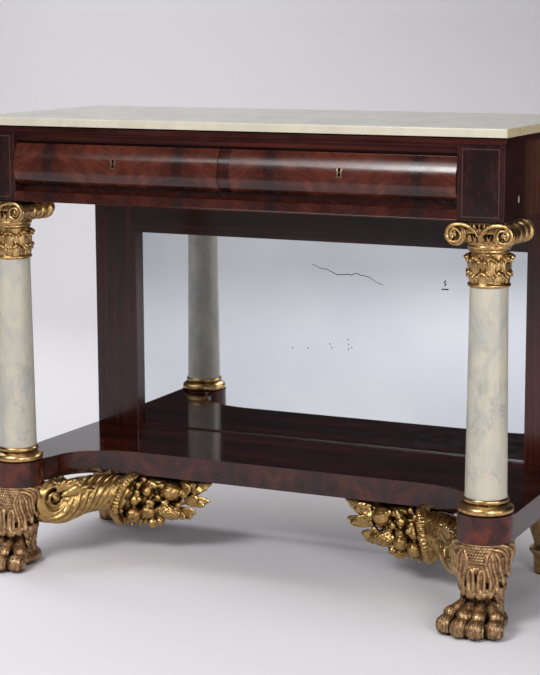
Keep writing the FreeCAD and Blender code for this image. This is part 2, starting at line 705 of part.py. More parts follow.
def dowel_hole(x, y, level):
    """The hole for a foot's dowel, on both sides of the joint at level."""
    z0 = level - DOWEL_IN_FOOT - DOWEL_END
    return upright_rod(x, y, DOWEL_RADIUS + DOWEL_GAP, z0, level + DOWEL_ABOVE + DOWEL_END)


def column_drum():
    drum = upright_rod(COLUMN_X, COLUMN_Y, DRUM_RADIUS, DRUM_BOTTOM, DRUM_TOP)
    return drum.cut(rod_hole(ROD_BOTTOM - PAST, DRUM_TOP)).cut(dowel_hole(COLUMN_X, COLUMN_Y, DRUM_BOTTOM))


add_pair("column_shaft", column_shaft())
add_pair("column_base", column_base())
add_pair("column_drum", column_drum())
parts["column_tie_rods"] = both_sides([upright_rod(COLUMN_X, COLUMN_Y, ROD_RADIUS, ROD_BOTTOM, ROD_TOP)])


# ---- capitals ----
def bolster(x):
    """One roll from the front volute to the back one, slimmer in the middle."""
    half = CAPITAL_DEPTH / 2
    edges = [
        line((0, 0, -half), (VOLUTE_RADIUS, 0, -half)),
        arc((VOLUTE_RADIUS, 0, -half), (BOLSTER_WAIST, 0, 0), (VOLUTE_RADIUS, 0, half)),
        line((VOLUTE_RADIUS, 0, half), (0, 0, half)),
        line((0, 0, half), (0, 0, -half)),
    ]
    roll = turned(edges, 0, 0)
    roll.rotate(vec(0, 0, 0), vec(1, 0, 0), 90)
    roll.translate(vec(x, COLUMN_Y, FRIEZE_BOTTOM - VOLUTE_RADIUS - VOLUTE_DROP))
    return roll


def capital():
    """A leafy bell under a pair of scroll rolls and a square abacus."""
    bell_top = FRIEZE_BOTTOM - 2 * VOLUTE_RADIUS
    echinus_z = bell_top - ECHINUS_HEIGHT
    astragal_z = CAPITAL_BOTTOM + ASTRAGAL_HEIGHT
    astragal = COLUMN_TOP_RADIUS + ASTRAGAL_PROUD
    bell = COLUMN_TOP_RADIUS + BELL_PROUD
    leaf = COLUMN_TOP_RADIUS + LEAF_PROUD
    echinus = COLUMN_TOP_RADIUS + ECHINUS_PROUD
    flat = astragal - ASTRAGAL_ROUND
    edges = [
        line((0, 0, CAPITAL_BOTTOM), (flat, 0, CAPITAL_BOTTOM)),
        arc((flat, 0, CAPITAL_BOTTOM), (astragal, 0, (CAPITAL_BOTTOM + astragal_z) / 2), (flat, 0, astragal_z)),
        line((flat, 0, astragal_z), (bell, 0, astragal_z)),
        line((bell, 0, astragal_z), (leaf, 0, echinus_z)),
        line((leaf, 0, echinus_z), (echinus, 0, echinus_z)),
        line((echinus, 0, echinus_z), (echinus, 0, bell_top)),
        line((echinus, 0, bell_top), (0, 0, bell_top)),
        line((0, 0, bell_top), (0, 0, CAPITAL_BOTTOM)),
    ]
    half = VOLUTE_SPACING / 2
    deep = CAPITAL_DEPTH / 2 - ABACUS_SET
    abacus = block(
        COLUMN_X - half, COLUMN_X + half, COLUMN_Y - deep, COLUMN_Y + deep, bell_top - PAST, FRIEZE_BOTTOM
    )
    whole = turned(edges, COLUMN_X, COLUMN_Y).fuse(abacus)
    whole = whole.fuse(bolster(COLUMN_X - half)).fuse(bolster(COLUMN_X + half))
    socket_top = CAPITAL_BOTTOM + SOCKET_DEPTH
    socket_radius = COLUMN_TOP_RADIUS + 2 * SOCKET_GAP
    socket = upright_rod(COLUMN_X, COLUMN_Y, socket_radius, CAPITAL_BOTTOM, socket_top)
    return whole.cut(socket).cut(rod_hole(CAPITAL_BOTTOM, FRIEZE_BOTTOM)).removeSplitter()


add_pair("capital", capital())

# ---- mirror frame, which stands on the shelf ----
FRAME_BACK_Y = BACK_Y - FRAME_BACK_SET
FRAME_FRONT_Y = FRAME_BACK_Y - FRAME_THICK
FRAME_OUTER_X = HALF_WIDTH - FRAME_SIDE_SET
FRAME_INNER_X = FRAME_OUTER_X - STILE_WIDTH
GLASS_Y = FRAME_FRONT_Y + GLASS_SET
BOARD_Y = GLASS_Y + GLASS_THICK
OPENING_TOP = FRIEZE_BOTTOM - FRAME_TOP_RAIL
GLASS_HALF = FRAME_INNER_X + GLASS_LAP - GLASS_GAP
GLASS_TOP = OPENING_TOP + GLASS_LAP - GLASS_GAP
BOARD_HALF = FRAME_INNER_X + BOARD_LAP
BOARD_TOP = OPENING_TOP + BOARD_LAP


def frame_rebates():
    """The steps cut into the back of the frame for the glass and the wider backboards."""
    half = FRAME_INNER_X + GLASS_LAP
    glass_step = block(-half, half, GLASS_Y, BOARD_Y, SHELF_HEIGHT, OPENING_TOP + GLASS_LAP)
    board_step = block(-BOARD_HALF, BOARD_HALF, BOARD_Y, FRAME_BACK_Y, SHELF_HEIGHT, BOARD_TOP)
    return glass_step.fuse(board_step)


def stile():
    post = block(FRAME_INNER_X, FRAME_OUTER_X, FRAME_FRONT_Y, FRAME_BACK_Y, SHELF_HEIGHT, FRIEZE_BOTTOM)
    return rounded(post, EDGE_ROUNDING, lambda box: is_upright(box) and box.YMax < FRAME_FRONT_Y + TINY)


def backboards():
    """Upright boards side by side behind the glass."""
    width = (2 * BOARD_HALF - (BOARD_COUNT - 1) * BOARD_JOINT) / BOARD_COUNT
    starts = [-BOARD_HALF + n * (width + BOARD_JOINT) for n in range(BOARD_COUNT)]
    boards = [block(x, x + width, BOARD_Y, FRAME_BACK_Y, SHELF_HEIGHT, BOARD_TOP) for x in starts]
    return Part.makeCompound(boards)


def countersunk_screw(x, z):
    """A screw through a backboard into the frame, with its head flush."""
    inward = vec(0, -1, 0)
    head = Part.makeCone(SCREW_HEAD_RADIUS, SCREW_RADIUS, SCREW_HEAD_THICK, vec(x, FRAME_BACK_Y, z), inward)
    shank = Part.makeCylinder(SCREW_RADIUS, SCREW_LENGTH, vec(x, FRAME_BACK_Y, z), inward)
    return head.fuse(shank).removeSplitter()


def backboard_screws():
    """Two at the top of each board, and a row down each stile."""
    screws = []
    board = 2 * BOARD_HALF / BOARD_COUNT
    top_z = BOARD_TOP - SCREW_EDGE
    for n in range(BOARD_COUNT):
        middle = -BOARD_HALF + (n + 0.5) * board
        screws += [countersunk_screw(middle + side * board / 4, top_z) for side in (LEFT, RIGHT)]
    pitch = (top_z - SHELF_HEIGHT) / (SIDE_SCREW_COUNT + 1)
    for n in range(1, SIDE_SCREW_COUNT + 1):
        z = SHELF_HEIGHT + n * pitch
        screws += [countersunk_screw(side * (BOARD_HALF - SCREW_EDGE), z) for side in (LEFT, RIGHT)]
    return Part.makeCompound(screws)


def glass_bead():
    """A quarter-round strip that holds the foot of the glass."""
    x0 = -FRAME_INNER_X
    z1 = SHELF_HEIGHT + BEAD_SIZE
    mid = BEAD_SIZE * math.sqrt(0.5)
    edges = [
        line((x0, GLASS_Y, SHELF_HEIGHT), (x0, GLASS_Y - BEAD_SIZE, SHELF_HEIGHT)),
        arc(
            (x0, GLASS_Y - BEAD_SIZE, SHELF_HEIGHT),
            (x0, GLASS_Y - mid, SHELF_HEIGHT + mid),
            (x0, GLASS_Y, z1),
        ),
        line((x0, GLASS_Y, z1), (x0, GLASS_Y, SHELF_HEIGHT)),
    ]
    return filled(edges).extrude(vec(2 * FRAME_INNER_X, 0, 0))


rebates = frame_rebates()
screws = backboard_screws()
top_rail = block(-FRAME_INNER_X, FRAME_INNER_X, FRAME_FRONT_Y, FRAME_BACK_Y, OPENING_TOP, FRIEZE_BOTTOM)
add_pair("mirror_stile", stile().cut(rebates).cut(screws))
parts["mirror_top_rail"] = top_rail.cut(rebates).cut(screws)
parts["mirror_glass"] = block(-GLASS_HALF, GLASS_HALF, GLASS_Y, BOARD_Y, SHELF_HEIGHT, GLASS_TOP)
parts["mirror_bead"] = glass_bead()
parts["mirror_backboards"] = backboards().cut(screws)
parts["backboard_screws"] = screws


# ---- shelf with a concave sweep beside each column ----
def shelf():
    sweep_x = COLUMN_X - SHELF_NECK_SET - SHELF_SWEEP_WIDTH
    sweep_y = SHELF_FRONT_SET - SHELF_SWEEP_DEPTH
    back_half = HALF_WIDTH - SHELF_SIDE_SET
    ellipse = Part.Ellipse(vec(0, 0, 0), SHELF_SWEEP_WIDTH, SHELF_SWEEP_DEPTH)
    sweep = Part.ArcOfEllipse(ellipse, 0, math.pi / 2).toShape()
    sweep.translate(vec(sweep_x, sweep_y, SHELF_BOTTOM))
    outline = [
        (COLUMN_X - SHELF_NECK_SET, sweep_y),
        (COLUMN_X - SHELF_SHOULDER_X, COLUMN_Y + SHELF_SHOULDER_Y),
        (COLUMN_X, COLUMN_Y),
        (COLUMN_X + DRUM_RADIUS, COLUMN_Y),
        (back_half, FRAME_FRONT_Y),
        (back_half, BACK_Y),
        (0, BACK_Y),
    ]
    corners = [(x, y, SHELF_BOTTOM) for x, y in outline]
    right_half = [line(a, b) for a, b in zip(corners, corners[1:])]
    right_half += [sweep, line((sweep_x, SHELF_FRONT_SET, SHELF_BOTTOM), (0, SHELF_FRONT_SET, SHELF_BOTTOM))]
    board = filled(right_half + [mirrored(edge) for edge in right_half]).extrude(vec(0, 0, SHELF_THICK))
    seat = upright_rod(COLUMN_X, COLUMN_Y, DRUM_RADIUS + DRUM_SEAM, SHELF_BOTTOM, SHELF_HEIGHT)
    foot_hole = dowel_hole(REAR_FOOT_X, REAR_FOOT_Y, SHELF_BOTTOM)
    return board.cut(both_sides([seat, foot_hole])).removeSplitter()


parts["shelf"] = shelf()


# ---- carved paw feet ----
def toe(place):
    """A rounded tip and a knuckle joined by a short finger; place runs from -1 to 1 across the paw."""
    across = place * TOE_SPREAD * (TOE_COUNT - 1) / 2
    tip_y = FRONT_LIMIT_Y + TOE_RADIUS + (TOE_SWEEP if abs(place) == 1 else 0)
    tip = vec(COLUMN_X + across, tip_y, TOE_RADIUS - TOE_SINK)
    knuckle = vec(COLUMN_X + across * KNUCKLE_CLOSER, tip_y + KNUCKLE_BACK, KNUCKLE_HEIGHT)
    finger = Part.makeCylinder(TOE_RADIUS - TOE_SINK, (knuckle - tip).Length, tip, knuckle - tip)
    return finger.fuse(Part.makeSphere(TOE_RADIUS, tip)).fuse(Part.makeSphere(TOE_RADIUS, knuckle))


def paw_pad():
    """An oval pad between the toes and the heel."""
    longer = max(PAD_HALF_LENGTH, PAD_HALF_WIDTH)
    shorter = min(PAD_HALF_LENGTH, PAD_HALF_WIDTH)
    oval = Part.Ellipse(vec(0, 0, 0), longer, shorter).toShape()
    if PAD_HALF_LENGTH > PAD_HALF_WIDTH:
        oval.rotate(vec(0, 0, 0), vec(0, 0, 1), 90)
    oval.translate(vec(COLUMN_X, FRONT_LIMIT_Y + TOE_RADIUS + PAD_HALF_LENGTH, 0))
    return filled([oval]).extrude(vec(0, 0, PAD_HEIGHT))


def paw_foot():
    leg_z = PAD_HEIGHT - PAD_LAP
    swell = ((ANKLE_RADIUS + LEG_RADIUS) / 2 + LEG_SWELL, 0, (ANKLE_HEIGHT + DRUM_BOTTOM) / 2)
    edges = [
        line((0, 0, leg_z), (ANKLE_RADIUS, 0, leg_z)),
        line((ANKLE_RADIUS, 0, leg_z), (ANKLE_RADIUS, 0, ANKLE_HEIGHT)),
        arc((ANKLE_RADIUS, 0, ANKLE_HEIGHT), swell, (LEG_RADIUS, 0, DRUM_BOTTOM)),
        line((LEG_RADIUS, 0, DRUM_BOTTOM), (0, 0, DRUM_BOTTOM)),
        line((0, 0, DRUM_BOTTOM), (0, 0, leg_z)),
    ]
    foot = turned(edges, COLUMN_X, COLUMN_Y).fuse(paw_pad())
    for n in range(TOE_COUNT):
        foot = foot.fuse(toe(2 * n / (TOE_COUNT - 1) - 1))
    reach = 2 * (PAD_HALF_WIDTH + TOE_SPREAD)
    below_floor = block(COLUMN_X - reach, COLUMN_X + reach, -reach, reach, -TOE_RADIUS, 0)
    return foot.cut(below_floor).cut(dowel_hole(COLUMN_X, COLUMN_Y, DRUM_BOTTOM)).removeSplitter()


add_pair("paw_foot", paw_foot())


# ---- turned rear feet ----
def rear_foot():
    """From the floor: a stem, a ring, a waist, and a swelling vase under a plain cap."""
    outline = [
        (25.0, 0.0),
        (26.5, 12.0),
        (28.0, 36.0),
        (33.0, 44.0),
        (36.5, 48.0),
        (36.5, 54.0),
        (27.0, 60.0),
        (27.5, 66.0),
        (36.0, 92.0),
        (42.0, 118.0),
        (41.0, 140.0),
        (35.0, 150.0),
        (38.0, 154.0),
        (38.0, SHELF_BOTTOM),
    ]
    rim = [(radius, 0, z) for radius, z in outline]
    loop = [(0, 0, 0)] + rim + [(0, 0, SHELF_BOTTOM)]
    edges = [line(a, b) for a, b in zip(loop, loop[1:] + loop[:1])]
    return turned(edges, REAR_FOOT_X, REAR_FOOT_Y).cut(dowel_hole(REAR_FOOT_X, REAR_FOOT_Y, SHELF_BOTTOM))


def foot_dowel(x, y, level):
    return upright_rod(x, y, DOWEL_RADIUS, level - DOWEL_IN_FOOT, level + DOWEL_ABOVE)


add_pair("rear_foot", rear_foot())
parts["foot_dowels"] = both_sides([
    foot_dowel(COLUMN_X, COLUMN_Y, DRUM_BOTTOM),
    foot_dowel(REAR_FOOT_X, REAR_FOOT_Y, SHELF_BOTTOM),
])


# ---- carved cornucopia brackets ----
def horn_section(inward, back, drop, radius, heading):
    """A round section of the carving, square to its course; heading is turned as SCROLL_HEADING is."""
    circle = Part.makeCircle(radius, vec(0, 0, 0), vec(0, 1, 0))
    circle.rotate(vec(0, 0, 0), vec(0, 0, 1), heading)
    circle.translate(vec(COLUMN_X - inward, SHELF_FRONT_SET + back, SHELF_BOTTOM - drop))
    return Part.Wire([circle])


def cornucopia():
    """A horn that starts in a scroll beside the paw, follows the shelf's sweep and spills fruit under the shelf."""
    horn = Part.makeLoft(
        [
            horn_section(77.0, -124.0, 39.0, 14.0, SCROLL_HEADING),
            horn_section(95.0, -84.0, 37.0, 30.0, 32.0),
            horn_section(125.0, -41.0, 39.0, 34.0, 45.0),
            horn_section(158.0, -16.0, 47.0, 42.0, 62.0),
            horn_section(180.0, -4.0, 48.0, 47.0, 74.0),
            horn_section(220.0, 15.0, 50.0, 46.0, 82.0),
            horn_section(270.0, 27.0, 50.0, 42.0, 90.0),
            horn_section(320.0, 33.0, 31.0, 24.0, 90.0),
            horn_section(367.0, 28.0, 11.0, 6.0, 90.0),
        ],
        True,
        True,
    )
    turn = math.radians(SCROLL_HEADING)
    across = vec(math.cos(turn), math.sin(turn), 0)
    centre = vec(COLUMN_X - SCROLL_IN, SHELF_FRONT_SET - SCROLL_FORWARD, SHELF_BOTTOM - SCROLL_DROP)
    scroll = Part.makeCylinder(SCROLL_RADIUS, SCROLL_THICK, centre - across * (SCROLL_THICK / 2), across)
    leg = upright_rod(COLUMN_X, COLUMN_Y, LEG_RADIUS + CARVING_GAP, 0, DRUM_TOP)
    return horn.fuse(scroll).cut(leg).removeSplitter()


add_pair("cornucopia", cornucopia())

# ---- every piece is moved to the table's own frame and written ----
os.makedirs("parts", exist_ok=True)
for name, shape in sorted(parts.items()):
    placed = shape.copy()
    placed.translate(vec(0, -CENTRE_Y, 0))
    placed.exportStep(f"parts/{name}.step")
    print(f"{name:26s} solids {len(placed.Solids):2d} valid {placed.isValid()} volume {placed.Volume:12.0f}")
print(len(parts), "nodes, middle of the depth at y =", CENTRE_Y)
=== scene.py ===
import math
import bpy
from mathutils import Euler, Matrix, Vector


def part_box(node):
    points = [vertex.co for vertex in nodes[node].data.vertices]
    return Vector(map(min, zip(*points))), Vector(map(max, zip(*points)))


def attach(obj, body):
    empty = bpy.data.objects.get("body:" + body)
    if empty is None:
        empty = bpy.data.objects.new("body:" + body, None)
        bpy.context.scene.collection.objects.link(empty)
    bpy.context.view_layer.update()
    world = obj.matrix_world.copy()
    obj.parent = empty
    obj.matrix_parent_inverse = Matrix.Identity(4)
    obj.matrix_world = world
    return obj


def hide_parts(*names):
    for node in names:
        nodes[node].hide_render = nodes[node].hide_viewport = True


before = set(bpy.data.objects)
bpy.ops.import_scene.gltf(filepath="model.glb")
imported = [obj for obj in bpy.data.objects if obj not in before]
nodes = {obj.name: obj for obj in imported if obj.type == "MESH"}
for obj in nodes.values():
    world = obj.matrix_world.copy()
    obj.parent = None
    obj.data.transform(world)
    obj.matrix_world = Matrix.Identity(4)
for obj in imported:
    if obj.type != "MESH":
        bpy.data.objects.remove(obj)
bpy.ops.object.select_all(action="DESELECT")
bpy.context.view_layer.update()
MM = 0.001

# ---- Shelf ----
# A board of pine with a hollowed front, veneered in mahogany: the front edge in short upright pieces cut from the
# crotch of the tree, the top with the stripes of plain mahogany running from end to end. Glued to drums and feet.
HEART_FIRST = 100 * MM          # the leaves are book-matched, so each half has these two near-black hearts
HEART_SPACING = 297 * MM
HEART_HALF_WIDTH = 11 * MM
HEART_SWAY = 14 * MM
SWAYS_PER_METRE = 14.0
FEATHER_FALL = 0.55             # how far the feather drops for its distance from the heart
CLOUDS_PER_METRE = 22.0
STRIPE_WIDTH = 4 * MM
STRIPE_LENGTH = 70 * MM
GRAIN_WIDTH = 9 * MM
GRAIN_LENGTH = 260 * MM
PORE_WIDTH = 0.9 * MM           # coarser than real pores, which are too fine to show
PORE_LENGTH = 8 * MM
POLISH_WAVE = 60 * MM
WORN_PER_METRE = 24.0


def linear(code):
    """An sRGB hex colour as the linear colour that a shader takes."""
    channels = [int(code[i:i + 2], 16) / 255 for i in (1, 3, 5)]
    return [c / 12.92 if c <= 0.04045 else ((c + 0.055) / 1.055) ** 2.4 for c in channels] + [1.0]


def add_node(tree, kind, settings={}, links={}, output=0):
    """Adds a node, sets its properties and sockets, links the sockets in links, and returns an output."""
    made = tree.nodes.new("ShaderNode" + kind)
    for name, value in settings.items():
        if name == "stops":
            ramp = made.color_ramp.elements
            while len(ramp) < len(value):
                ramp.new(1.0)
            for stop, (place, code) in zip(ramp, value):
                stop.position = place
                stop.color = linear(code)
        elif hasattr(made, str(name)):
            setattr(made, name, value)
        else:
            open_sockets = [s for s in made.inputs if s.enabled]
            socket = open_sockets[name] if isinstance(name, int) else next(s for s in open_sockets if s.name == name)
            socket.default_value = value
    open_sockets = [s for s in made.inputs if s.enabled]
    for name, source in links.items():
        socket = open_sockets[name] if isinstance(name, int) else next(s for s in open_sockets if s.name == name)
        tree.links.new(source, socket)
    outputs = [s for s in made.outputs if s.enabled]
    return outputs[output] if isinstance(output, int) else next(s for s in outputs if s.name == output)


def new_material(name, settings):
    """A material with the shader's even values set; its patterns are linked afterwards."""
    material = bpy.data.materials.new(name)
    material.use_nodes = True
    tree = material.node_tree
    shader = tree.nodes["Principled BSDF"]
    for socket, value in settings.items():
        shader.inputs[socket].default_value = value
    return material, tree, shader


def finish_with(names, material):
    """Puts a material on CAD nodes."""
    for name in names:
        piece = nodes[name]
        piece.data.materials.clear()
        piece.data.materials.append(material)


def streaks(tree, place, sizes, detail, distortion=0.0):
    """Soft irregular streaks, drawn out to a size in each direction."""
    place = add_node(tree, "Mapping", {"Scale": [1 / size for size in sizes]}, {"Vector": place})
    return add_node(tree, "TexNoise", {"Scale": 1.0, "Detail": detail, "Distortion": distortion}, {"Vector": place})


def crotch_figure(tree, place, dark, middle, light):
    """Feathered stripes that fall away on both sides of the near-black hearts."""
    x, y, z = (add_node(tree, "SeparateXYZ", {}, {0: place}, axis) for axis in "XYZ")
    sway = add_node(tree, "TexNoise", {"Scale": SWAYS_PER_METRE, "Detail": 2.0}, {"Vector": place})
    sway = add_node(tree, "MapRange", {"To Min": -HEART_SWAY, "To Max": HEART_SWAY}, {"Value": sway})
    half = add_node(tree, "Math", {"operation": "ABSOLUTE"}, {0: x})
    half = add_node(tree, "Math", {"operation": "ADD"}, {0: half, 1: sway})
    half = add_node(tree, "Math", {"operation": "SUBTRACT", 1: HEART_FIRST}, {0: half})
    away = add_node(tree, "Math", {"operation": "PINGPONG", 1: HEART_SPACING / 2}, {0: half})
    fall = add_node(tree, "Math", {"operation": "MULTIPLY_ADD", 1: FEATHER_FALL}, {0: away, 2: z})
    feather = add_node(tree, "CombineXYZ", {}, {0: away, 1: y, 2: fall})
    stripes = streaks(tree, feather, (STRIPE_LENGTH, STRIPE_LENGTH, STRIPE_WIDTH), 3.0, 0.3)
    clouds = add_node(tree, "TexNoise", {"Scale": CLOUDS_PER_METRE, "Detail": 2.0}, {"Vector": feather})
    figure = add_node(tree, "Mix", {"data_type": "FLOAT", "Factor": 0.6}, {"A": stripes, "B": clouds})
    colour = add_node(tree, "ValToRGB", {"stops": [(0.36, dark), (0.5, middle), (0.64, light)]}, {0: figure})
    heart = add_node(tree, "MapRange", {"interpolation_type": "SMOOTHSTEP", "From Min": HEART_HALF_WIDTH * 0.45,
                                        "From Max": HEART_HALF_WIDTH * 1.7, "To Min": 0.66, "To Max": 0.0},
                     {"Value": away})
    return add_node(tree, "Mix", {"data_type": "RGBA", "B": linear("#131215")}, {"Factor": heart, "A": colour})


def plain_figure(tree, place, along, dark, middle, light):
    """Straight mahogany: long soft stripes in the direction along, with slow cloudy changes of tone."""
    sizes = [GRAIN_LENGTH if axis == along else GRAIN_WIDTH for axis in "xyz"]
    stripes = streaks(tree, place, sizes, 4.0, 0.5)
    clouds = streaks(tree, place, [size * 5 for size in sizes], 2.0)
    figure = add_node(tree, "Mix", {"data_type": "FLOAT", "Factor": 0.45}, {"A": stripes, "B": clouds})
    return add_node(tree, "ValToRGB", {"stops": [(0.36, dark), (0.5, middle), (0.66, light)]}, {0: figure})


def french_polish(name, grain, figure, details=(), gloss=0.16):
    """Old shellac polish over a figured veneer: a deep clear gloss that lies over the dark pores, a little worn and
    wavy by hand. The figure's own details, such as its tones, are passed on to it."""
    material, tree, shader = new_material(name, {"IOR": 1.48})
    place = add_node(tree, "TexCoord", output="Object")
    pores = streaks(tree, place, [PORE_LENGTH if axis == grain else PORE_WIDTH for axis in "xyz"], 2.0)
    pores = add_node(tree, "MapRange", {"From Min": 0.33, "From Max": 0.5, "To Min": 0.74}, {"Value": pores})
    shaded = add_node(tree, "Mix", {"data_type": "RGBA", "blend_type": "MULTIPLY", "Factor": 1.0},
                      {"A": figure(tree, place, *details), "B": pores})
    tree.links.new(shaded, shader.inputs["Base Color"])
    worn = add_node(tree, "TexNoise", {"Scale": WORN_PER_METRE, "Detail": 4.0}, {"Vector": place})
    worn = add_node(tree, "MapRange", {"From Min": 0.3, "From Max": 0.7, "To Min": gloss * 0.8,
                                       "To Max": gloss * 1.4}, {"Value": worn})
    tree.links.new(worn, shader.inputs["Roughness"])
    wave = add_node(tree, "TexNoise", {"Scale": 1 / POLISH_WAVE, "Detail": 1.0}, {"Vector": place})
    wave = add_node(tree, "Bump", {"Strength": 0.3, "Distance": 0.5 * MM}, {"Height": wave})
    bump = add_node(tree, "Bump", {"Strength": 0.04, "Distance": 0.2 * MM}, {"Height": pores, "Normal": wave})
    tree.links.new(bump, shader.inputs["Normal"])
    return material


def shelf_figure(tree, place):
    """Plain stripes on the top, crotch figure on the front edge."""
    top = plain_figure(tree, place, "x", "#190805", "#290E09", "#4C1A0E")
    edge = crotch_figure(tree, place, "#1E0F0C", "#371A15", "#4E2419")
    up = add_node(tree, "NewGeometry", output="Normal")
    up = add_node(tree, "SeparateXYZ", {}, {0: up}, "Z")
    up = add_node(tree, "Math", {"operation": "GREATER_THAN", 1: 0.5}, {0: up})
    return add_node(tree, "Mix", {"data_type": "RGBA"}, {"Factor": up, "A": edge, "B": top})


finish_with(["shelf"], french_polish("mahogany_shelf_polished", "x", shelf_figure, gloss=0.1))

# ---- Drums ----
# Short turned drums between the shelf and the column bases, veneered with cloudy upright mahogany and polished.
DRUM_CLOUD = 34 * MM


def cloudy_figure(tree, place):
    """Red clouds that fade into dark brown ones, drawn out a little along the grain."""
    clouds = streaks(tree, place, (DRUM_CLOUD, DRUM_CLOUD, DRUM_CLOUD * 1.4), 4.0, 0.6)
    return add_node(tree, "ValToRGB", {"stops": [(0.36, "#27110D"), (0.5, "#40170E"), (0.62, "#5C2414")]}, {0: clouds})


finish_with(["column_drum_left", "column_drum_right"], french_polish("mahogany_drum_polished", "z", cloudy_figure))

# ---- Mirror frame ----
# Two stiles and a top rail of veneered pine behind the shelf, with a small quarter-round bead at the glass's foot.
# The grain stands upright on the stiles and on the rail runs along it.
finish_with(["mirror_stile_left", "mirror_stile_right"],
            french_polish("mahogany_upright_polished", "z", plain_figure, ("z", "#230E0A", "#38150E", "#502013")))
finish_with(["mirror_top_rail", "mirror_bead"],
            french_polish("mahogany_lengthwise_polished", "x", plain_figure, ("x", "#180C0A", "#25120E", "#3A1B14")))

# ---- Mirror glass ----
# Old plate glass with a tin and mercury back, set in a rebate of the frame: a cool, slightly dim and uneven image.
material, tree, shader = new_material("silvered_plate_glass", {"Metallic": 1.0, "Roughness": 0.02})
place = add_node(tree, "TexCoord", output="Object")
haze = add_node(tree, "TexNoise", {"Scale": 3.0, "Detail": 3.0}, {"Vector": place})
haze = add_node(tree, "ValToRGB", {"stops": [(0.3, "#D3D8DE"), (0.7, "#E6E9EC")]}, {0: haze})
tree.links.new(haze, shader.inputs["Base Color"])
finish_with(["mirror_glass"], material)

# ---- Frieze ----
# The front of the frieze: stepped upper rail, lower rail, muntin and corner blocks in crotch veneer on pine, glued up
# with the end panels in upright plain veneer and a small moulding under the marble.
BLOCK_MIDDLE = (474 + 565.5) / 2 * MM
BLOCK_EDGE = 42 * MM
MOTTLE_WIDTH = 9 * MM
MOTTLE_HEIGHT = 17 * MM


def mottled_figure(tree, place, dark, middle, light):
    """The middle of a crotch: a dark stain down the middle of each corner block, red mottles at its sides."""
    x = add_node(tree, "SeparateXYZ", {}, {0: place}, "X")
    half = add_node(tree, "Math", {"operation": "ABSOLUTE"}, {0: x})
    half = add_node(tree, "Math", {"operation": "SUBTRACT", 1: BLOCK_MIDDLE}, {0: half})
    half = add_node(tree, "Math", {"operation": "ABSOLUTE"}, {0: half})
    mottle = streaks(tree, place, (MOTTLE_WIDTH, MOTTLE_WIDTH, MOTTLE_HEIGHT), 3.0, 0.6)
    edge = add_node(tree, "MapRange", {"From Max": BLOCK_EDGE, "To Min": -0.16, "To Max": 0.07}, {"Value": half})
    figure = add_node(tree, "Math", {"operation": "ADD"}, {0: mottle, 1: edge})
    return add_node(tree, "ValToRGB", {"stops": [(0.38, dark), (0.5, middle), (0.66, light)]}, {0: figure})


for names, finish, grain, figure, details, gloss in (
        (["drawer_front_left", "drawer_front_right"], "crotch", "z", crotch_figure,
         ("#30150F", "#482119", "#5E2D20"), 0.18),
        (["frieze_lower_rail"], "rail", "z", crotch_figure, ("#260E09", "#3A150E", "#4C1E14"), 0.16),
        (["frieze_upper_rail", "frieze_moulding_front", "frieze_moulding_end_left", "frieze_moulding_end_right",
          "drawer_muntin"], "moulding", "x", plain_figure, ("x", "#1C0D0A", "#331613", "#4C2019"), 0.16),
        (["corner_block_left", "corner_block_right"], "block", "z", mottled_figure,
         ("#211515", "#2A1716", "#371B18"), 0.16),
        (["frieze_end_panel_left", "frieze_end_panel_right"], "end", "z", plain_figure,
         ("z", "#2B1C15", "#4A2E24", "#673C2D"), 0.16)):
    finish_with(names, french_polish(f"mahogany_{finish}_polished", grain, figure, details, gloss))

# ---- Stringing ----
# A thread of boxwood let into each corner block, darkened by two centuries of polish until it hardly shows.
material, tree, shader = new_material("boxwood_string_polished", {"Base Color": linear("#4E332C"), "Roughness": 0.3,
                                                                  "Coat Weight": 0.4})
finish_with(["block_stringing"], material)

# ---- Inside pieces of tulip poplar ----
# Planed boards and blocks that never show at the front: pale tan, dusty and unfinished, with fine straight grain.
POPLAR_GRAIN = 6 * MM
POPLAR_LENGTH = 200 * MM


def planed_poplar(name, grain):
    """Bare aged poplar: dry and matt, tan with greenish brown streaks."""
    material, tree, shader = new_material(name, {"Roughness": 0.75})
    place = add_node(tree, "TexCoord", output="Object")
    figure = streaks(tree, place, [POPLAR_LENGTH if axis == grain else POPLAR_GRAIN for axis in "xyz"], 4.0, 0.4)
    colour = add_node(tree, "ValToRGB", {"stops": [(0.3, "#8A6B47"), (0.5, "#A98A5F"), (0.7, "#BFA174")]}, {0: figure})
    tree.links.new(colour, shader.inputs["Base Color"])
    bump = add_node(tree, "Bump", {"Strength": 0.15, "Distance": 0.2 * MM}, {"Height": figure})
    tree.links.new(bump, shader.inputs["Normal"])
    return material


poplar_along = planed_poplar("poplar_planed_lengthwise", "x")
poplar_deep = planed_poplar("poplar_planed_front_to_back", "y")
poplar_upright = planed_poplar("poplar_planed_upright", "z")
finish_with(["frieze_back_rail", "marble_battens", "drawer_back_left", "drawer_back_right"], poplar_along)
finish_with(["drawer_runners", "drawer_guides", "drawer_kickers", "drawer_centre_bearer", "drawer_stops",
             "drawer_outer_side_left", "drawer_outer_side_right", "drawer_inner_side_left",
             "drawer_inner_side_right", "drawer_bottom_left", "drawer_bottom_right"], poplar_deep)
finish_with(["mirror_backboards", "glue_blocks", "foot_dowels"], poplar_upright)

# ---- Locks, screws and tie rods ----
# Filed steel lock cases and bolts let into the drawer fronts; wrought iron rods and screws that are hidden.
FILE_STROKE = (0.6 * MM, 0.6 * MM, 12 * MM)

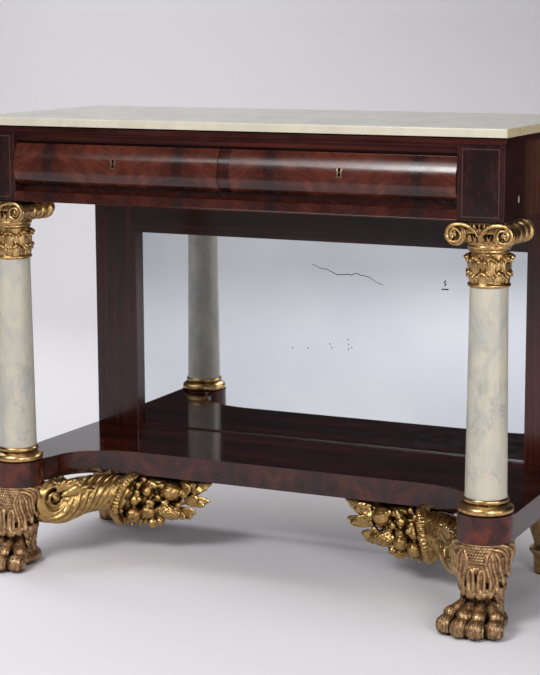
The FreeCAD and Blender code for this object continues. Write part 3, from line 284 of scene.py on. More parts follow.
material, tree, shader = new_material("steel_filed", {"Metallic": 1.0, "Base Color": linear("#8A8680")})
place = add_node(tree, "TexCoord", output="Object")
strokes = streaks(tree, place, FILE_STROKE, 2.0)
strokes = add_node(tree, "MapRange", {"To Min": 0.3, "To Max": 0.55}, {"Value": strokes})
tree.links.new(strokes, shader.inputs["Roughness"])
finish_with(["lock_case_left", "lock_case_right", "lock_bolt_left", "lock_bolt_right"], material)
material, tree, shader = new_material("iron_wrought_oiled", {"Metallic": 1.0, "Base Color": linear("#4A4744"),
                                                             "Roughness": 0.5})
finish_with(["column_tie_rods", "backboard_screws"], material)

# ---- Escutcheons ----
# A narrow thread of sheet brass let into the veneer round each keyhole, flush, rubbed thin and dulled with age.
material, tree, shader = new_material("brass_thread_rubbed", {"Metallic": 1.0, "Base Color": linear("#82725B"),
                                                              "Roughness": 0.35})
finish_with(["escutcheon_left", "escutcheon_right"], material)

# ---- Marble top ----
# A slab of white marble with soft grey clouds and a few thin veins, honed, its edges a little rounded and yellowed.
STAINED_FROM = 569 * MM         # the stained face of the right end
STAIN_SIZE = 12 * MM


def honed_marble(name, pale, cloud, vein, roughness, cloud_size, vein_spacing, vein_width, turn):
    """Limestone crystals polished smooth: a soft waxy depth, clouds of grey, and thin veins that fade in and out."""
    material, tree, shader = new_material(name, {"Roughness": roughness, "IOR": 1.49, "Subsurface Weight": 0.1,
                                                 "Subsurface Scale": 4 * MM})
    place = add_node(tree, "TexCoord", output="Object")
    bedding = add_node(tree, "Mapping", {"Rotation": turn, "Scale": (1.0, 1.0, 0.55)}, {"Vector": place})
    clouds = add_node(tree, "TexNoise", {"Scale": 1 / cloud_size, "Detail": 5.0, "Roughness": 0.55,
                                         "Distortion": 0.8}, {"Vector": bedding})
    tone = add_node(tree, "ValToRGB", {"stops": [(0.32, cloud), (0.6, pale)]}, {0: clouds})
    line = add_node(tree, "TexNoise", {"Scale": 1 / vein_spacing, "Detail": 6.0, "Roughness": 0.6,
                                       "Distortion": 1.2}, {"Vector": bedding})
    line = add_node(tree, "Math", {"operation": "SUBTRACT", 1: 0.5}, {0: line})
    line = add_node(tree, "Math", {"operation": "ABSOLUTE"}, {0: line})
    line = add_node(tree, "MapRange", {"From Max": vein_width, "To Min": 0.55, "To Max": 0.0}, {"Value": line})
    fade = add_node(tree, "TexNoise", {"Scale": 1.6 / vein_spacing}, {"Vector": place})
    fade = add_node(tree, "MapRange", {"From Min": 0.45, "From Max": 0.65}, {"Value": fade})
    line = add_node(tree, "Math", {"operation": "MULTIPLY"}, {0: line, 1: fade})
    colour = add_node(tree, "Mix", {"data_type": "RGBA", "B": linear(vein)}, {"Factor": line, "A": tone})
    tree.links.new(colour, shader.inputs["Base Color"])
    return material


slab_marble = honed_marble("marble_white_honed", "#C8C5BA", "#B4B2AA", "#8C8A86", roughness=0.3, cloud_size=90 * MM,
                           vein_spacing=160 * MM, vein_width=0.012, turn=(0.3, 0.2, 0.6))
tree = slab_marble.node_tree
shader = tree.nodes["Principled BSDF"]
# the edges have yellowed, the right end most of all, where it is stained too
stone = shader.inputs["Base Color"].links[0].from_socket
place = add_node(tree, "TexCoord", output="Object")
facing = add_node(tree, "SeparateXYZ", {}, {0: add_node(tree, "NewGeometry", output="Normal")}, "Z")
edge = add_node(tree, "MapRange", {"From Min": 0.6, "From Max": 0.2, "To Max": 0.36}, {"Value": facing})
end = add_node(tree, "SeparateXYZ", {}, {0: place}, "X")
end = add_node(tree, "MapRange", {"From Min": STAINED_FROM, "From Max": STAINED_FROM + 1.5 * MM}, {"Value": end})
edge = add_node(tree, "Math", {"operation": "MAXIMUM"}, {0: edge, 1: end})
yellowed = add_node(tree, "Mix", {"data_type": "RGBA", "B": linear("#CBBD98")}, {"Factor": edge, "A": stone})
stain = add_node(tree, "TexNoise", {"Scale": 1 / STAIN_SIZE, "Detail": 4.0}, {"Vector": place})
stain = add_node(tree, "MapRange", {"From Min": 0.58, "From Max": 0.7, "To Max": 0.6}, {"Value": stain})
stain = add_node(tree, "Math", {"operation": "MULTIPLY"}, {0: stain, 1: end})
stained = add_node(tree, "Mix", {"data_type": "RGBA", "B": linear("#8A7350")}, {"Factor": stain, "A": yellowed})
tree.links.new(stained, shader.inputs["Base Color"])
finish_with(["marble_top"], slab_marble)

# ---- Column shafts ----
# Turned and polished shafts of greenish white marble, drawn together between the gilt mounts by an iron rod.
finish_with(["column_shaft_left", "column_shaft_right"],
            honed_marble("marble_grey_white_polished", "#C0B9A8", "#A9A8A2", "#8A8A84", roughness=0.32,
                         cloud_size=38 * MM, vein_spacing=70 * MM, vein_width=0.03, turn=(0.2, 0.5, 0.0)))

# ---- Gilt turned bases and rear feet ----
# Turned poplar rings and feet under gesso, red bole and water-gilded leaf, burnished and rubbed at the edges. The
# carvings further down are gilded in the same way.
RUB_SIZE = 14 * MM
PATINA_SIZE = 11 * MM
TOOL_SIZE = 2.2 * MM
SHADE_REACH = 11 * MM


def gold_leaf(name, gold, patina, glaze_and_shade, gloss, wear, shade_range):
    """Leaf over bole: bright metal where it stands proud, brown patina over it in patches, painted shade with a little
    dark glaze in the hollows and along the cuts, and red bole where the leaf is rubbed through."""
    material, tree, shader = new_material(name, {"Metallic": 1.0})
    place = add_node(tree, "TexCoord", output="Object")
    patch = add_node(tree, "TexNoise", {"Scale": 1 / PATINA_SIZE, "Detail": 6.0, "Roughness": 0.7}, {"Vector": place})
    patch = add_node(tree, "MapRange", {"From Min": 0.54 - 0.22 * wear, "From Max": 0.8 - 0.22 * wear},
                     {"Value": patch})
    leaf = add_node(tree, "Mix", {"data_type": "RGBA", "A": linear(gold), "B": linear(patina)}, {"Factor": patch})
    rub = add_node(tree, "TexNoise", {"Scale": 1 / RUB_SIZE, "Detail": 5.0, "Roughness": 0.65}, {"Vector": place})
    rub = add_node(tree, "MapRange", {"From Min": 0.55, "From Max": 0.7, "To Max": 0.65}, {"Value": rub})
    leaf = add_node(tree, "Mix", {"data_type": "RGBA", "B": linear("#7E3F26")}, {"Factor": rub, "A": leaf})
    # painted shade, with a little dark glaze: ambient occlusion and low pointiness darken the leaf in the hollows and
    # along the cuts
    hollow_shade = add_node(tree, "AmbientOcclusion", {"Distance": SHADE_REACH, "samples": 8}, output="AO")
    hollow_shade = add_node(tree, "MapRange", {"From Min": shade_range[0], "From Max": shade_range[1]}, {"Value": hollow_shade})
    cut_shade = add_node(tree, "NewGeometry", output="Pointiness")
    cut_shade = add_node(tree, "MapRange", {"From Min": 0.5, "From Max": 0.44, "To Max": 0.7}, {"Value": cut_shade})
    dark = add_node(tree, "Math", {"operation": "MAXIMUM"}, {0: hollow_shade, 1: cut_shade})
    colour = add_node(tree, "Mix", {"data_type": "RGBA", "B": linear(glaze_and_shade)}, {"Factor": dark, "A": leaf})
    tree.links.new(colour, shader.inputs["Base Color"])
    fine = add_node(tree, "TexNoise", {"Scale": 1 / TOOL_SIZE, "Detail": 3.0, "Roughness": 0.6}, {"Vector": place})
    dull = add_node(tree, "MapRange", {"To Min": gloss, "To Max": gloss + 0.3}, {"Value": patch})
    tree.links.new(dull, shader.inputs["Roughness"])
    bump = add_node(tree, "Bump", {"Strength": 0.06 + 0.5 * wear * wear, "Distance": 0.5 * MM}, {"Height": fine})
    tree.links.new(bump, shader.inputs["Normal"])
    return material


burnished = gold_leaf("gold_leaf_burnished", "#D2AC74", "#785834", "#1A0E06", gloss=0.28, wear=0.3,
                      shade_range=(0.94, 0.42))
toned_gold = gold_leaf("gold_leaf_toned", "#BF9D64", "#684C2C", "#170D06", gloss=0.28, wear=0.32,
                       shade_range=(0.94, 0.42))
matt_gold = gold_leaf("gold_leaf_matt_aged", "#B8966A", "#7E6444", "#2A1C0C", gloss=0.4, wear=0.5,
                      shade_range=(0.82, 0.3))
worn_gold = gold_leaf("gold_leaf_worn_brown", "#D6B080", "#906E54", "#1A0F08", gloss=0.34, wear=0.7,
                      shade_range=(0.96, 0.42))
finish_with(["column_base_left", "column_base_right"], burnished)
finish_with(["rear_foot_left", "rear_foot_right"], matt_gold)

# ---- Capitals ----
# Carved poplar under gilding: a bell with two rows of eight acanthus leaves, a ring of eggs, and on each side a
# scroll that runs from front to back, its band winding in to a rosette. Doweled under the corner blocks.
BELL = (687, 33.5, 36, 72)      # middle height, lower radius, upper radius, height
ECHINUS = (738, 40, 44, 28)
ABACUS = (760, 103, 22)         # middle height, depth, height
# height, radius and half thickness of each ring
BELL_RINGS = [(651.4, 36, 4.2), (658, 34.5, 2), (714.5, 36.5, 2.2), (722.5, 36.5, 4.8)]
LEAVES_ROUND = 8
LEAF_ROWS = [(655, 681, 35, 46.5), (668, 709, 36, 48.5)]        # foot, tip, radius, radius of the curled tip
FINGER_TURN = 7.2
EGGS_ROUND = 11
EGG = ((43, 731), (47, 751))    # radius and height of its foot and its top
DART = ((42, 729), (48, 750))
SCROLL_X = 46.75
SCROLL_Z = 747.5
SCROLL_RADIUS = 22.0
SCROLL_FACE = 61.5
SCROLL_TURNS = 1.45
# the swellings of the scroll's barrel: place from front to back, radius, half length
SCROLL_BARREL = [(-49, 21.9, 9), (-31, 18.6, 13), (-4, 20.6, 17), (26, 21.4, 16), (49, 21.9, 9)]
BAND_RADIUS = 3.8
# the band before it winds: distance from the middle, height over the scroll's centre, share of its radius
BAND_START = [(2.5, -2, 0.5), (5, 3, 0.65), (10, 9.5, 0.8), (17, 14.5, 0.9), (26, 17.8, 1), (36, 19, 1)]
BAND_STEPS = 48
PALMETTE_FOOT = 741
LYING = (math.pi / 2, 0, 0)

shaft_low, shaft_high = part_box("column_shaft_right")
# all the carving is measured in millimetres: its sizes are turned into metres where they are used, and a direction
# such as up is one millimetre long
AXIS = Vector(((shaft_low[0] + shaft_high[0]) / 2, (shaft_low[1] + shaft_high[1]) / 2, 0))
UP = Vector((0, 0, MM))
forms = []                      # the rounded forms of the carving in hand

bpy.ops.mesh.primitive_uv_sphere_add(segments=12, ring_count=8, radius=0.5)
rounded_form = bpy.context.object


def from_axis(x, y, z):
    """A point by its millimetres from the column's axis and the floor."""
    return AXIS + Vector((x, y, z)) * MM


def away(degrees):
    """The direction out from the column's axis, with 0 degrees in front."""
    return Vector((math.sin(math.radians(degrees)), -math.cos(math.radians(degrees)), 0)) * MM


def round_axis(radius, degrees, z):
    """A point round the column's axis."""
    return AXIS + away(degrees) * radius + UP * z


def lobe(start, end, width, thickness, outward):
    """A rounded gouge-cut form from start to end, copied from the one sphere, wide across and thin outwards."""
    along = end - start
    lengthwise = along.normalized()
    outward = (outward - lengthwise * outward.dot(lengthwise)).normalized()
    turn = Matrix((outward, lengthwise.cross(outward), lengthwise)).transposed().to_4x4()
    form = rounded_form.copy()
    form.data = rounded_form.data.copy()
    form.data.transform(Matrix.Translation((start + end) / 2) @ turn
                        @ Matrix.Diagonal((thickness * MM, width * MM, along.length, 1)))
    forms.append(form)


def turned(kind, place, facing=(0, 0, 0), **sizes):
    """A turned form: one of Blender's own solids at its place."""
    getattr(bpy.ops.mesh, f"primitive_{kind}_add")(location=place / MM, rotation=facing, **sizes)
    form = bpy.context.object
    form.matrix_basis = Matrix.Scale(MM, 4) @ form.matrix_basis
    forms.append(form)


def bead(path):
    """A round bead along a path of places and radii."""
    curve = bpy.data.curves.new("bead", "CURVE")
    curve.dimensions = "3D"
    curve.bevel_depth = 1.0
    curve.bevel_resolution = 2
    curve.use_fill_caps = True
    spline = curve.splines.new("POLY")
    spline.points.add(len(path) - 1)
    for point, (place, radius) in zip(spline.points, path):
        point.co = (*place, 1.0)
        point.radius = radius * MM
    swept = bpy.data.objects.new("bead", curve)
    bpy.context.scene.collection.objects.link(swept)
    bpy.ops.object.select_all(action="DESELECT")
    bpy.context.view_layer.objects.active = swept
    swept.select_set(True)
    bpy.ops.object.convert(target="MESH")
    forms.append(swept)


def join_forms(name):
    """Joins the forms in hand into one piece, and empties the hand."""
    bpy.ops.object.select_all(action="DESELECT")
    for form in forms:
        if form.name not in bpy.context.scene.collection.objects:
            bpy.context.scene.collection.objects.link(form)
        form.select_set(True)
    bpy.context.view_layer.objects.active = forms[0]
    bpy.ops.object.join()
    forms.clear()
    piece = bpy.context.object
    bpy.ops.object.transform_apply(location=True, rotation=True, scale=True)
    piece.name = piece.data.name = name
    return piece


def fuse_carving(name, material, voxel=1.2, smooth=2):
    """Fuses the forms in hand into one skin, as one block of wood, and softens the cuts as gesso does."""
    carving = join_forms(name)
    remesh = carving.modifiers.new("one_block", "REMESH")
    remesh.mode = "VOXEL"
    remesh.voxel_size = voxel * MM
    soft = carving.modifiers.new("gesso", "SMOOTH")
    soft.factor = 0.5
    soft.iterations = smooth
    for modifier in ("one_block", "gesso"):
        bpy.ops.object.modifier_apply(modifier=modifier)
    bpy.ops.object.shade_smooth()
    carving.data.materials.append(material)
    return carving


def stand_for(carving, node, left_node, mirrored):
    """The carving takes the place of its CAD node, and a copy with its own mesh that of the left one."""
    bpy.ops.object.select_all(action="DESELECT")
    twin = carving.copy()
    twin.data = carving.data.copy()
    twin.name = twin.data.name = carving.name.replace("right", "left")
    bpy.context.scene.collection.objects.link(twin)
    if mirrored:
        twin.data.transform(Matrix.Diagonal((-1, 1, 1, 1)))
        twin.data.flip_normals()
    else:
        twin.data.transform(Matrix.Translation((-2 * AXIS.x, 0, 0)))
    for piece, stood_for in ((carving, node), (twin, left_node)):
        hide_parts(stood_for)
        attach(piece, "table")


def scroll_path(side, face):
    """The band of one scroll: from the dip in the middle up over the scroll and winding in to the rosette."""
    middle = from_axis(0, face * SCROLL_FACE, SCROLL_Z)
    path = [(middle + Vector((side * across, 0, up)) * MM, BAND_RADIUS * share) for across, up, share in BAND_START]
    for step in range(BAND_STEPS + 1):
        share = step / BAND_STEPS
        turn = share * SCROLL_TURNS * 2 * math.pi
        radius = (SCROLL_RADIUS - BAND_RADIUS) * (1 - 0.62 * share ** 0.85)
        path.append((middle + Vector((side * (SCROLL_X + math.sin(turn) * radius), 0, math.cos(turn) * radius)) * MM,
                     BAND_RADIUS * (1 - 0.4 * share)))
    return path


for height, lower, upper, tall in (BELL, ECHINUS):
    turned("cone", from_axis(0, 0, height), vertices=48, radius1=lower, radius2=upper, depth=tall)
for height, radius, thick in BELL_RINGS:
    turned("torus", from_axis(0, 0, height), major_radius=radius, minor_radius=thick, major_segments=64,
           minor_segments=12)
turned("cube", from_axis(0, 0, ABACUS[0]), size=1, scale=(2 * SCROLL_X, *ABACUS[1:]))
for row, (foot, tip, near, far) in enumerate(LEAF_ROWS):
    for leaf in range(LEAVES_ROUND):
        middle = (leaf + 0.5 * row) * 360 / LEAVES_ROUND
        for finger in (-2, -1, 0, 1, 2):
            aside = abs(finger)
            turn = middle + finger * FINGER_TURN
            top = tip - aside ** 1.6 * 2.6
            lobe(round_axis(near - 0.5, middle + finger * 3, foot - 3),
                 round_axis(near + 2.4 - aside * 0.6, turn, top - 1), 4.2, 8, away(turn))
            lobe(round_axis(near, turn, top + 0.5), round_axis(far - aside * 1.5, turn, top - 7), 7.4, 5.4, UP)
        for finger in (-0.45, 0.45):
            turn = middle + 180 / LEAVES_ROUND + finger * FINGER_TURN
            lobe(round_axis(near - 2, turn, foot), round_axis(near + 2.5, turn, tip - 9), 4.6, 5, away(turn))
for egg in range(EGGS_ROUND):
    turn = egg * 360 / EGGS_ROUND
    (low, foot), (high, top) = EGG
    lobe(round_axis(low, turn, foot), round_axis(high, turn, top), 14.5, 18, away(turn))
    turn += 180 / EGGS_ROUND
    (low, foot), (high, top) = DART
    for aside in (-5, 5):
        lobe(round_axis(low, turn, foot), round_axis(high, turn + aside, top), 2.6, 7, away(turn))
for side in (-1, 1):
    turned("cylinder", from_axis(side * SCROLL_X, 0, SCROLL_Z), LYING, vertices=40, radius=16.5, depth=116)
    for y, radius, half in SCROLL_BARREL:
        turned("uv_sphere", from_axis(side * SCROLL_X, y, SCROLL_Z), LYING, segments=48, ring_count=28, radius=1,
               scale=(radius, radius, half))
    for face in (-1, 1):
        turned("cylinder", from_axis(side * SCROLL_X, face * 53.5, SCROLL_Z), LYING, vertices=48, radius=20.5, depth=9)
        bead(scroll_path(side, face))
        out = Vector((0, face, 0)) * MM
        rosette = from_axis(side * SCROLL_X, face * 58.5, SCROLL_Z)
        lobe(rosette - out * 4, rosette + out * 4, 11, 11, UP)
        for petal in range(5):
            turn = math.radians(petal * 72 + 18)
            lobe(rosette + out * 2, rosette + out * 3 + Vector((math.cos(turn), 0, math.sin(turn))) * 5.6 * MM, 3.4, 4,
                 out)
for face in (-1, 1):
    for finger in (-2, -1, 0, 1, 2):
        turn = math.radians(finger * 25)
        lobe(from_axis(0, face * 54, PALMETTE_FOOT),
             from_axis(math.sin(turn) * 27, face * 59, PALMETTE_FOOT + 28 * math.cos(turn * 0.55)), 5.6, 6,
             Vector((0, face, 0)))
stand_for(fuse_carving("capital_carved_right", burnished), "capital_right", "capital_left", mirrored=False)

# ---- Paw feet ----
# Carved poplar in one block with the leg: a lion's paw with four toes under a skirt of drooping acanthus leaves and
# tufts of hair, the gilding older and browner than above. Doweled into the drums.
TOES = [(-45, -85), (-13, -98), (18, -98), (49, -83)]
TOE_RADIUS = 16.5
KNUCKLE_BACK = 20
KNUCKLE_HEIGHT = 36
LEG_TOP = 168
LEG_PROFILE = [(LEG_TOP, 54), (160, 52.5), (142, 49.5), (120, 45), (97, 41), (74, 38.5)]       # height, radius
ANKLE_FORWARD = 0.1
PADS = [(-16, 14, (50, 62, 22)), (-20, 20, (42, 54, 23))]      # place in front of the axis, height, half sizes
PUNCH_TOP = 161                 # the rows of small punched dots over the skirt
PUNCH_ROWS = 6
PUNCH_SPACING = 5.8
PUNCH_TURN = 6.6
# the ribs of one half of the leaf skirt: points of (degrees from the front, height, how proud, radius)
SKIRT_RIBS = [
    [(14, 121, 0, 2.4), (8, 112, 2.5, 3.2), (6.5, 96, 3.5, 3.7), (7, 78, 5, 4.6)],
    [(14, 121, 0, 2.4), (20, 112, 2.5, 3.2), (21.5, 96, 3.5, 3.7), (21, 78, 5.5, 4.6)],
    [(31, 154, 0, 2.2), (24, 144, 2, 3.2), (24, 128, 3, 3.6), (31, 110, 3.5, 4), (37, 95, 4.5, 4.2), (36, 80, 6, 4)],
    [(37, 147, 1, 2.4), (38, 134, 3, 3.6), (43, 119, 4, 4), (51, 104, 5, 4.2), (54, 88, 6.5, 4)],
    [(41, 152, 1, 2.4), (50, 142, 4, 3.8), (54, 128, 5, 4), (60, 114, 5.5, 4.2), (69, 102, 6, 4)],
    [(36, 160, 1, 2.6), (52, 157, 4, 4), (64, 146, 6, 4.4), (69, 130, 6, 4.4), (76, 116, 6, 4.2), (84, 108, 5, 3.4)],
    [(56, 167, 1, 3), (70, 162, 4, 4.2), (81, 150, 7, 4.8), (86, 134, 6, 4.6), (94, 118, 5, 4)],
    [(84, 167, 0, 3), (94, 158, 4, 4.6), (101, 142, 5, 4.8), (106, 122, 4, 4)],
    [(109, 166, 0, 4), (114, 140, 3, 4.6), (117, 116, 4, 4.6), (115, 100, 5, 3)],
    [(126, 166, 0, 4), (131, 142, 3, 4.6), (134, 118, 4, 4.6), (132, 102, 5, 3)],
    [(144, 166, 0, 4), (149, 140, 3, 4.6), (152, 116, 4, 4.6), (150, 100, 5, 3)],
    [(162, 166, 0, 4), (166, 142, 3, 4.6), (169, 118, 4, 4.6), (167, 102, 5, 3)]]
# the skirt's hem, lobes that stand proud over a dark hollow: degrees from the front, height, width
HEM = [(14, 67, 22), (37, 70, 16), (54, 79, 14), (71, 94, 13), (88, 105, 12)]
# locks of hair at the leg's sides and back: degrees, top, length
LOCKS = [(60, 78, 26), (76, 86, 30), (70, 56, 26), (86, 62, 30), (80, 38, 26), (94, 88, 30), (100, 44, 28),
         (104, 66, 28), (114, 88, 28), (120, 48, 28), (126, 70, 28), (136, 90, 28), (140, 50, 28), (148, 72, 28),
         (158, 92, 28), (162, 52, 28), (172, 74, 28)]
STROKE_WIDTH = 2.6              # of the gouge that cut the hair
STROKE_LENGTH = 14
STROKES_START = 84              # they deepen from this height down to the next
STROKES_FULL = 58


def on_leg(degrees, z, proud=0.0):
    """A point on the leg's skin, or that many millimetres proud of it. The ankle leans a little forward."""
    radius = 35
    for (high, wide), (low, narrow) in zip(LEG_PROFILE, LEG_PROFILE[1:] + [(66, 35)]):
        if z >= low:
            radius = narrow + (wide - narrow) * (z - low) / (high - low)
            break
    return round_axis(radius + proud, degrees, z) - Vector((0, (LEG_TOP - z) * ANKLE_FORWARD, 0)) * MM


def eased(points, steps=6):
    """Points of numbers, with a smooth run of more points between them."""
    run = []
    padded = [points[0]] + points + [points[-1]]
    for before, start, end, after in zip(padded, padded[1:], padded[2:], padded[3:]):
        for step in range(steps):
            t = step / steps
            run.append([0.5 * (2 * b + (c - a) * t + (2 * a - 5 * b + 4 * c - d) * t * t
                               + (3 * b - a - 3 * c + d) * t ** 3) for a, b, c, d in zip(before, start, end, after)])
    return run + [list(points[-1])]


def haired(centre, forward, aside, wide, high, long):
    """Strands of hair combed down over the front of a rounded form of those half sizes."""
    for strand in range(-4, 5):
        share = strand * 0.215
        thin = (1 - share * share) ** 0.36
        path = []
        for degrees in range(-15, 131, 12):
            rise, reach = math.cos(math.radians(degrees)), math.sin(math.radians(degrees))
            rise, reach = (math.copysign(abs(part) ** 0.75, part) * thin for part in (rise, reach))
            path.append((centre + aside * share * wide + UP * rise * high + forward * reach * long, 1.7))
        bead(path)


for (high, wide), (low, narrow) in zip(LEG_PROFILE, LEG_PROFILE[1:]):
    centre = (on_leg(0, (high + low) / 2) + on_leg(180, (high + low) / 2)) / 2
    turned("cone", centre, vertices=56, radius1=narrow - 2, radius2=wide - 2, depth=high - low + 2)
turned("cylinder", from_axis(0, 0, 52), vertices=56, radius=1, depth=56, scale=(33, 25, 1))
for before, after in zip(SKIRT_RIBS, SKIRT_RIBS[1:]):
    for side in (-1, 1):
        bead([(on_leg(side * (a[0] + b[0]) / 2, (a[1] + b[1]) / 2, (a[2] + b[2]) / 2 - 4.2), 2.6)
              for a, b in zip(eased(before), eased(after))])
turned("cylinder", from_axis(0, 0, LEG_TOP - 1.4), vertices=56, radius=54.3, depth=2.8)
for row in range(PUNCH_ROWS):
    for column in range(-3, 4):
        turn = (column + 0.5 * (row % 2)) * PUNCH_TURN
        z = PUNCH_TOP - row * PUNCH_SPACING
        lobe(on_leg(turn - 1.9, z - 2.1, -1.6), on_leg(turn + 1.9, z + 2.1, -1.6), 3.7, 5.2,
             on_leg(turn, z) - on_leg(turn + 180, z))
for side in (-1, 1):
    for rib in SKIRT_RIBS:
        bead([(on_leg(side * turn, z, proud - 1.5), radius) for turn, z, proud, radius in eased(rib)])
    for turn, z, wide in HEM:
        lobe(on_leg(side * turn, z + 17), on_leg(side * turn, z - 6, 7), wide, 12, on_leg(side * turn, z) - AXIS)
    for turn, top, length in LOCKS:
        for strand in (-1, 0, 1):
            start = on_leg(side * (turn + strand * 6), top)
            middle = on_leg(side * (turn + strand * 6.5), top - length * 0.55, 4.5 - abs(strand))
            end = on_leg(side * (turn + strand * 2 + 5), top - length, 2)
            lobe(start, middle, 6.6, 10, middle - AXIS)
            lobe((start + middle) / 2, end, 6.2, 10, middle - AXIS)
for y, z, half_sizes in PADS:
    turned("uv_sphere", from_axis(0, y, z), segments=40, ring_count=20, radius=1, scale=half_sizes)
for x, y in TOES:
    tip = from_axis(x, y, TOE_RADIUS - 1.5)
    knuckle = from_axis(x * 0.92, y + KNUCKLE_BACK, KNUCKLE_HEIGHT)
    root = from_axis(x * 0.52, y * 0.25 - 16, KNUCKLE_HEIGHT + 17)
    forward = Vector((x * 0.004, -1, 0)).normalized() * MM
    aside = Vector((-forward.y, forward.x, 0))
    for across, lift in ((-4, 6.5), (4, 6.5), (-4.6, -1.5), (4.6, -1.5)):
        corner = tip + aside * across + UP * lift
        lobe(corner - forward * 26, corner + forward * (TOE_RADIUS - 1), 26.5, 27.5, UP)
    for across in (-2.6, 2.6):
        corner = knuckle + aside * across
        lobe(corner - forward * 19, corner + forward * 12.5 - UP * 2, 22, 25, UP)
    lobe(root, knuckle + forward * 8, 25, 19, UP)
    lobe(root - UP * 16, knuckle + forward * 4 - UP * 10, 34, 36, UP)
    haired(tip - forward * 5.2 + UP * 2.5, forward, aside, 18.6, 18.6, 21.6)
    haired(knuckle - forward * 3.2 - UP, forward, aside, 14.2, 13.2, 16.4)
    for strand in (-5, 0, 5):
        bead([(root + aside * strand + UP * (9.6 - abs(strand) * 0.3), 1.4),
              (knuckle + aside * strand * 1.3 + UP * (10.4 - abs(strand) * 0.3), 1.8)])
# the gouge's strokes in the hair, forward over the toes and down the leg under the skirt, with dirt in them
tree = worn_gold.node_tree
shader = tree.nodes["Principled BSDF"]
place = add_node(tree, "TexCoord", output="Object")
stroke = streaks(tree, place, (STROKE_WIDTH * MM, STROKE_LENGTH * MM, STROKE_LENGTH * MM), 2.0)
stroke = add_node(tree, "MapRange", {"From Min": 0.42, "From Max": 0.62}, {"Value": stroke})
low = add_node(tree, "SeparateXYZ", {}, {0: place}, "Z")
low = add_node(tree, "MapRange", {"From Min": STROKES_START * MM, "From Max": STROKES_FULL * MM, "To Max": 0.7},
               {"Value": low})
stroke = add_node(tree, "Math", {"operation": "MULTIPLY"}, {0: stroke, 1: low})
leaf = shader.inputs["Base Color"].links[0].from_socket
dirt = add_node(tree, "Mix", {"data_type": "RGBA", "B": linear("#48362B")}, {"Factor": stroke, "A": leaf})
tree.links.new(dirt, shader.inputs["Base Color"])
grain = shader.inputs["Normal"].links[0].from_socket
cuts = add_node(tree, "Bump", {"Strength": 0.5, "Distance": MM, "invert": True}, {"Height": stroke, "Normal": grain})
tree.links.new(cuts, shader.inputs["Normal"])
paw = fuse_carving("paw_foot_carved_right", worn_gold, voxel=1.3, smooth=1)
bpy.ops.object.mode_set(mode="EDIT")
bpy.ops.mesh.select_all(action="SELECT")
bpy.ops.mesh.bisect(plane_co=(0, 0, 0.2 * MM), plane_no=(0, 0, 1), use_fill=True, clear_inner=True)
bpy.ops.mesh.select_all(action="SELECT")
bpy.ops.mesh.normals_make_consistent(inside=False)
bpy.ops.object.mode_set(mode="OBJECT")
stand_for(paw, "paw_foot_right", "paw_foot_left", mirrored=True)

# ---- Cornucopias ----
# Carved poplar brackets screwed under the shelf beside the front legs: a horn of plenty that unrolls from a scroll,
# twisted flutes along it, a roped rim, and fruit and leaves spilling from its mouth. Burnished leaf on the high parts.
SCROLL_CENTRE = (457, 82, 139)
SCROLL_TURN = 27
# the scroll's course, in degrees round its centre, with the distance and the radius there
SCROLL_COURSE = [(-720, 3, 4.5), (-660, 6, 4.8), (-600, 8.5, 5), (-540, 11.5, 5.5), (-495, 13.5, 6), (-450, 15.5, 6.8),
                 (-405, 15.5, 7.5), (-360, 16.5, 8), (-315, 20, 9.5), (-270, 24, 11), (-225, 27, 12.5), (-180, 30, 15),
                 (-135, 33, 17.5), (-90, 35, 20)]
# the horn's course from there to its mouth, with half its width and half its height
HORN_COURSE = [(470, 64, 104, 16, 17), (456, 84, 101, 19, 20), (443, 103, 104, 22, 25), (431, 121, 115, 26, 30),
               (420, 140, 126, 29, 35), (407, 160, 132, 31, 38), (392, 178, 132, 32, 38), (376, 193, 128, 32, 40),
               (360, 203, 123, 31, 42), (346, 209, 118, 30, 43)]
FLUTES_ROUND = 10
FLUTE_TWIST = -400
MOUTH = (343.5, 209.5, 117)
MOUTH_UP = (-14.5, 14.5, 47)
MOUTH_OUT = (-0.94, -0.22, -0.22)
MOUTH_HALF_WIDTH = 36
ROPE_STEPS = 48
MOUTH_ROLLS = [(2, 8.4), (-7, 7.2), (-15, 3)]       # how far out of the mouth, radius
# the block behind the carving: from, to, width, thickness
BLOCK = [((366, 222, 118), (200, 254, 130), 40, 60), ((364, 228, 92), (236, 248, 90), 34, 48),
         ((400, 222, 161), (150, 262, 161), 30, 18), ((370, 214, 114), (322, 228, 114), 46, 76),
         ((344, 224, 150), (200, 250, 152), 38, 30), ((456, 130, 159), (360, 222, 160), 44, 18),
         ((502, 66, 157), (430, 114, 160), 42, 22)]
APPLES = [(323, 199, 87, 18), (291, 207, 95, 18), (288, 208, 114, 12), (284, 214, 69, 13), (345, 222, 76, 13),
          (313, 243, 106, 17), (283, 246, 130, 15), (262, 247, 84, 14), (258, 222, 112, 12), (300, 236, 150, 15)]
APPLES_BEHIND = 230             # the apples behind this place show their eyes at the back
BERRIES = [(315, 200, 135, 8), (309, 197, 122, 7.5), (275, 207, 153, 8), (270, 211, 126, 9), (262, 214, 152, 8),
           (306, 216, 160, 8), (288, 212, 131, 9), (226, 220, 112, 7), (217, 224, 122, 7), (214, 222, 136, 6),
           (212, 226, 148, 6), (300, 212, 72, 8), (332, 214, 152, 9), (318, 212, 148, 9)]
PEARS = [((322, 199, 116), 12, (316, 200, 133), 7), ((292, 202, 139), 11, (281, 205, 158), 7),
         ((268, 214, 74), 10, (275, 220, 90), 8)]
POMEGRANATE = (244, 224, 141)
POMEGRANATE_RADIUS = 23.5
SEED_SPACING = 3.6
CORN = ((276, 216, 99), (222, 226, 92))
CORN_RADIUS = 16.4
CORN_ROWS = 10
KERNELS_ROUND = 15
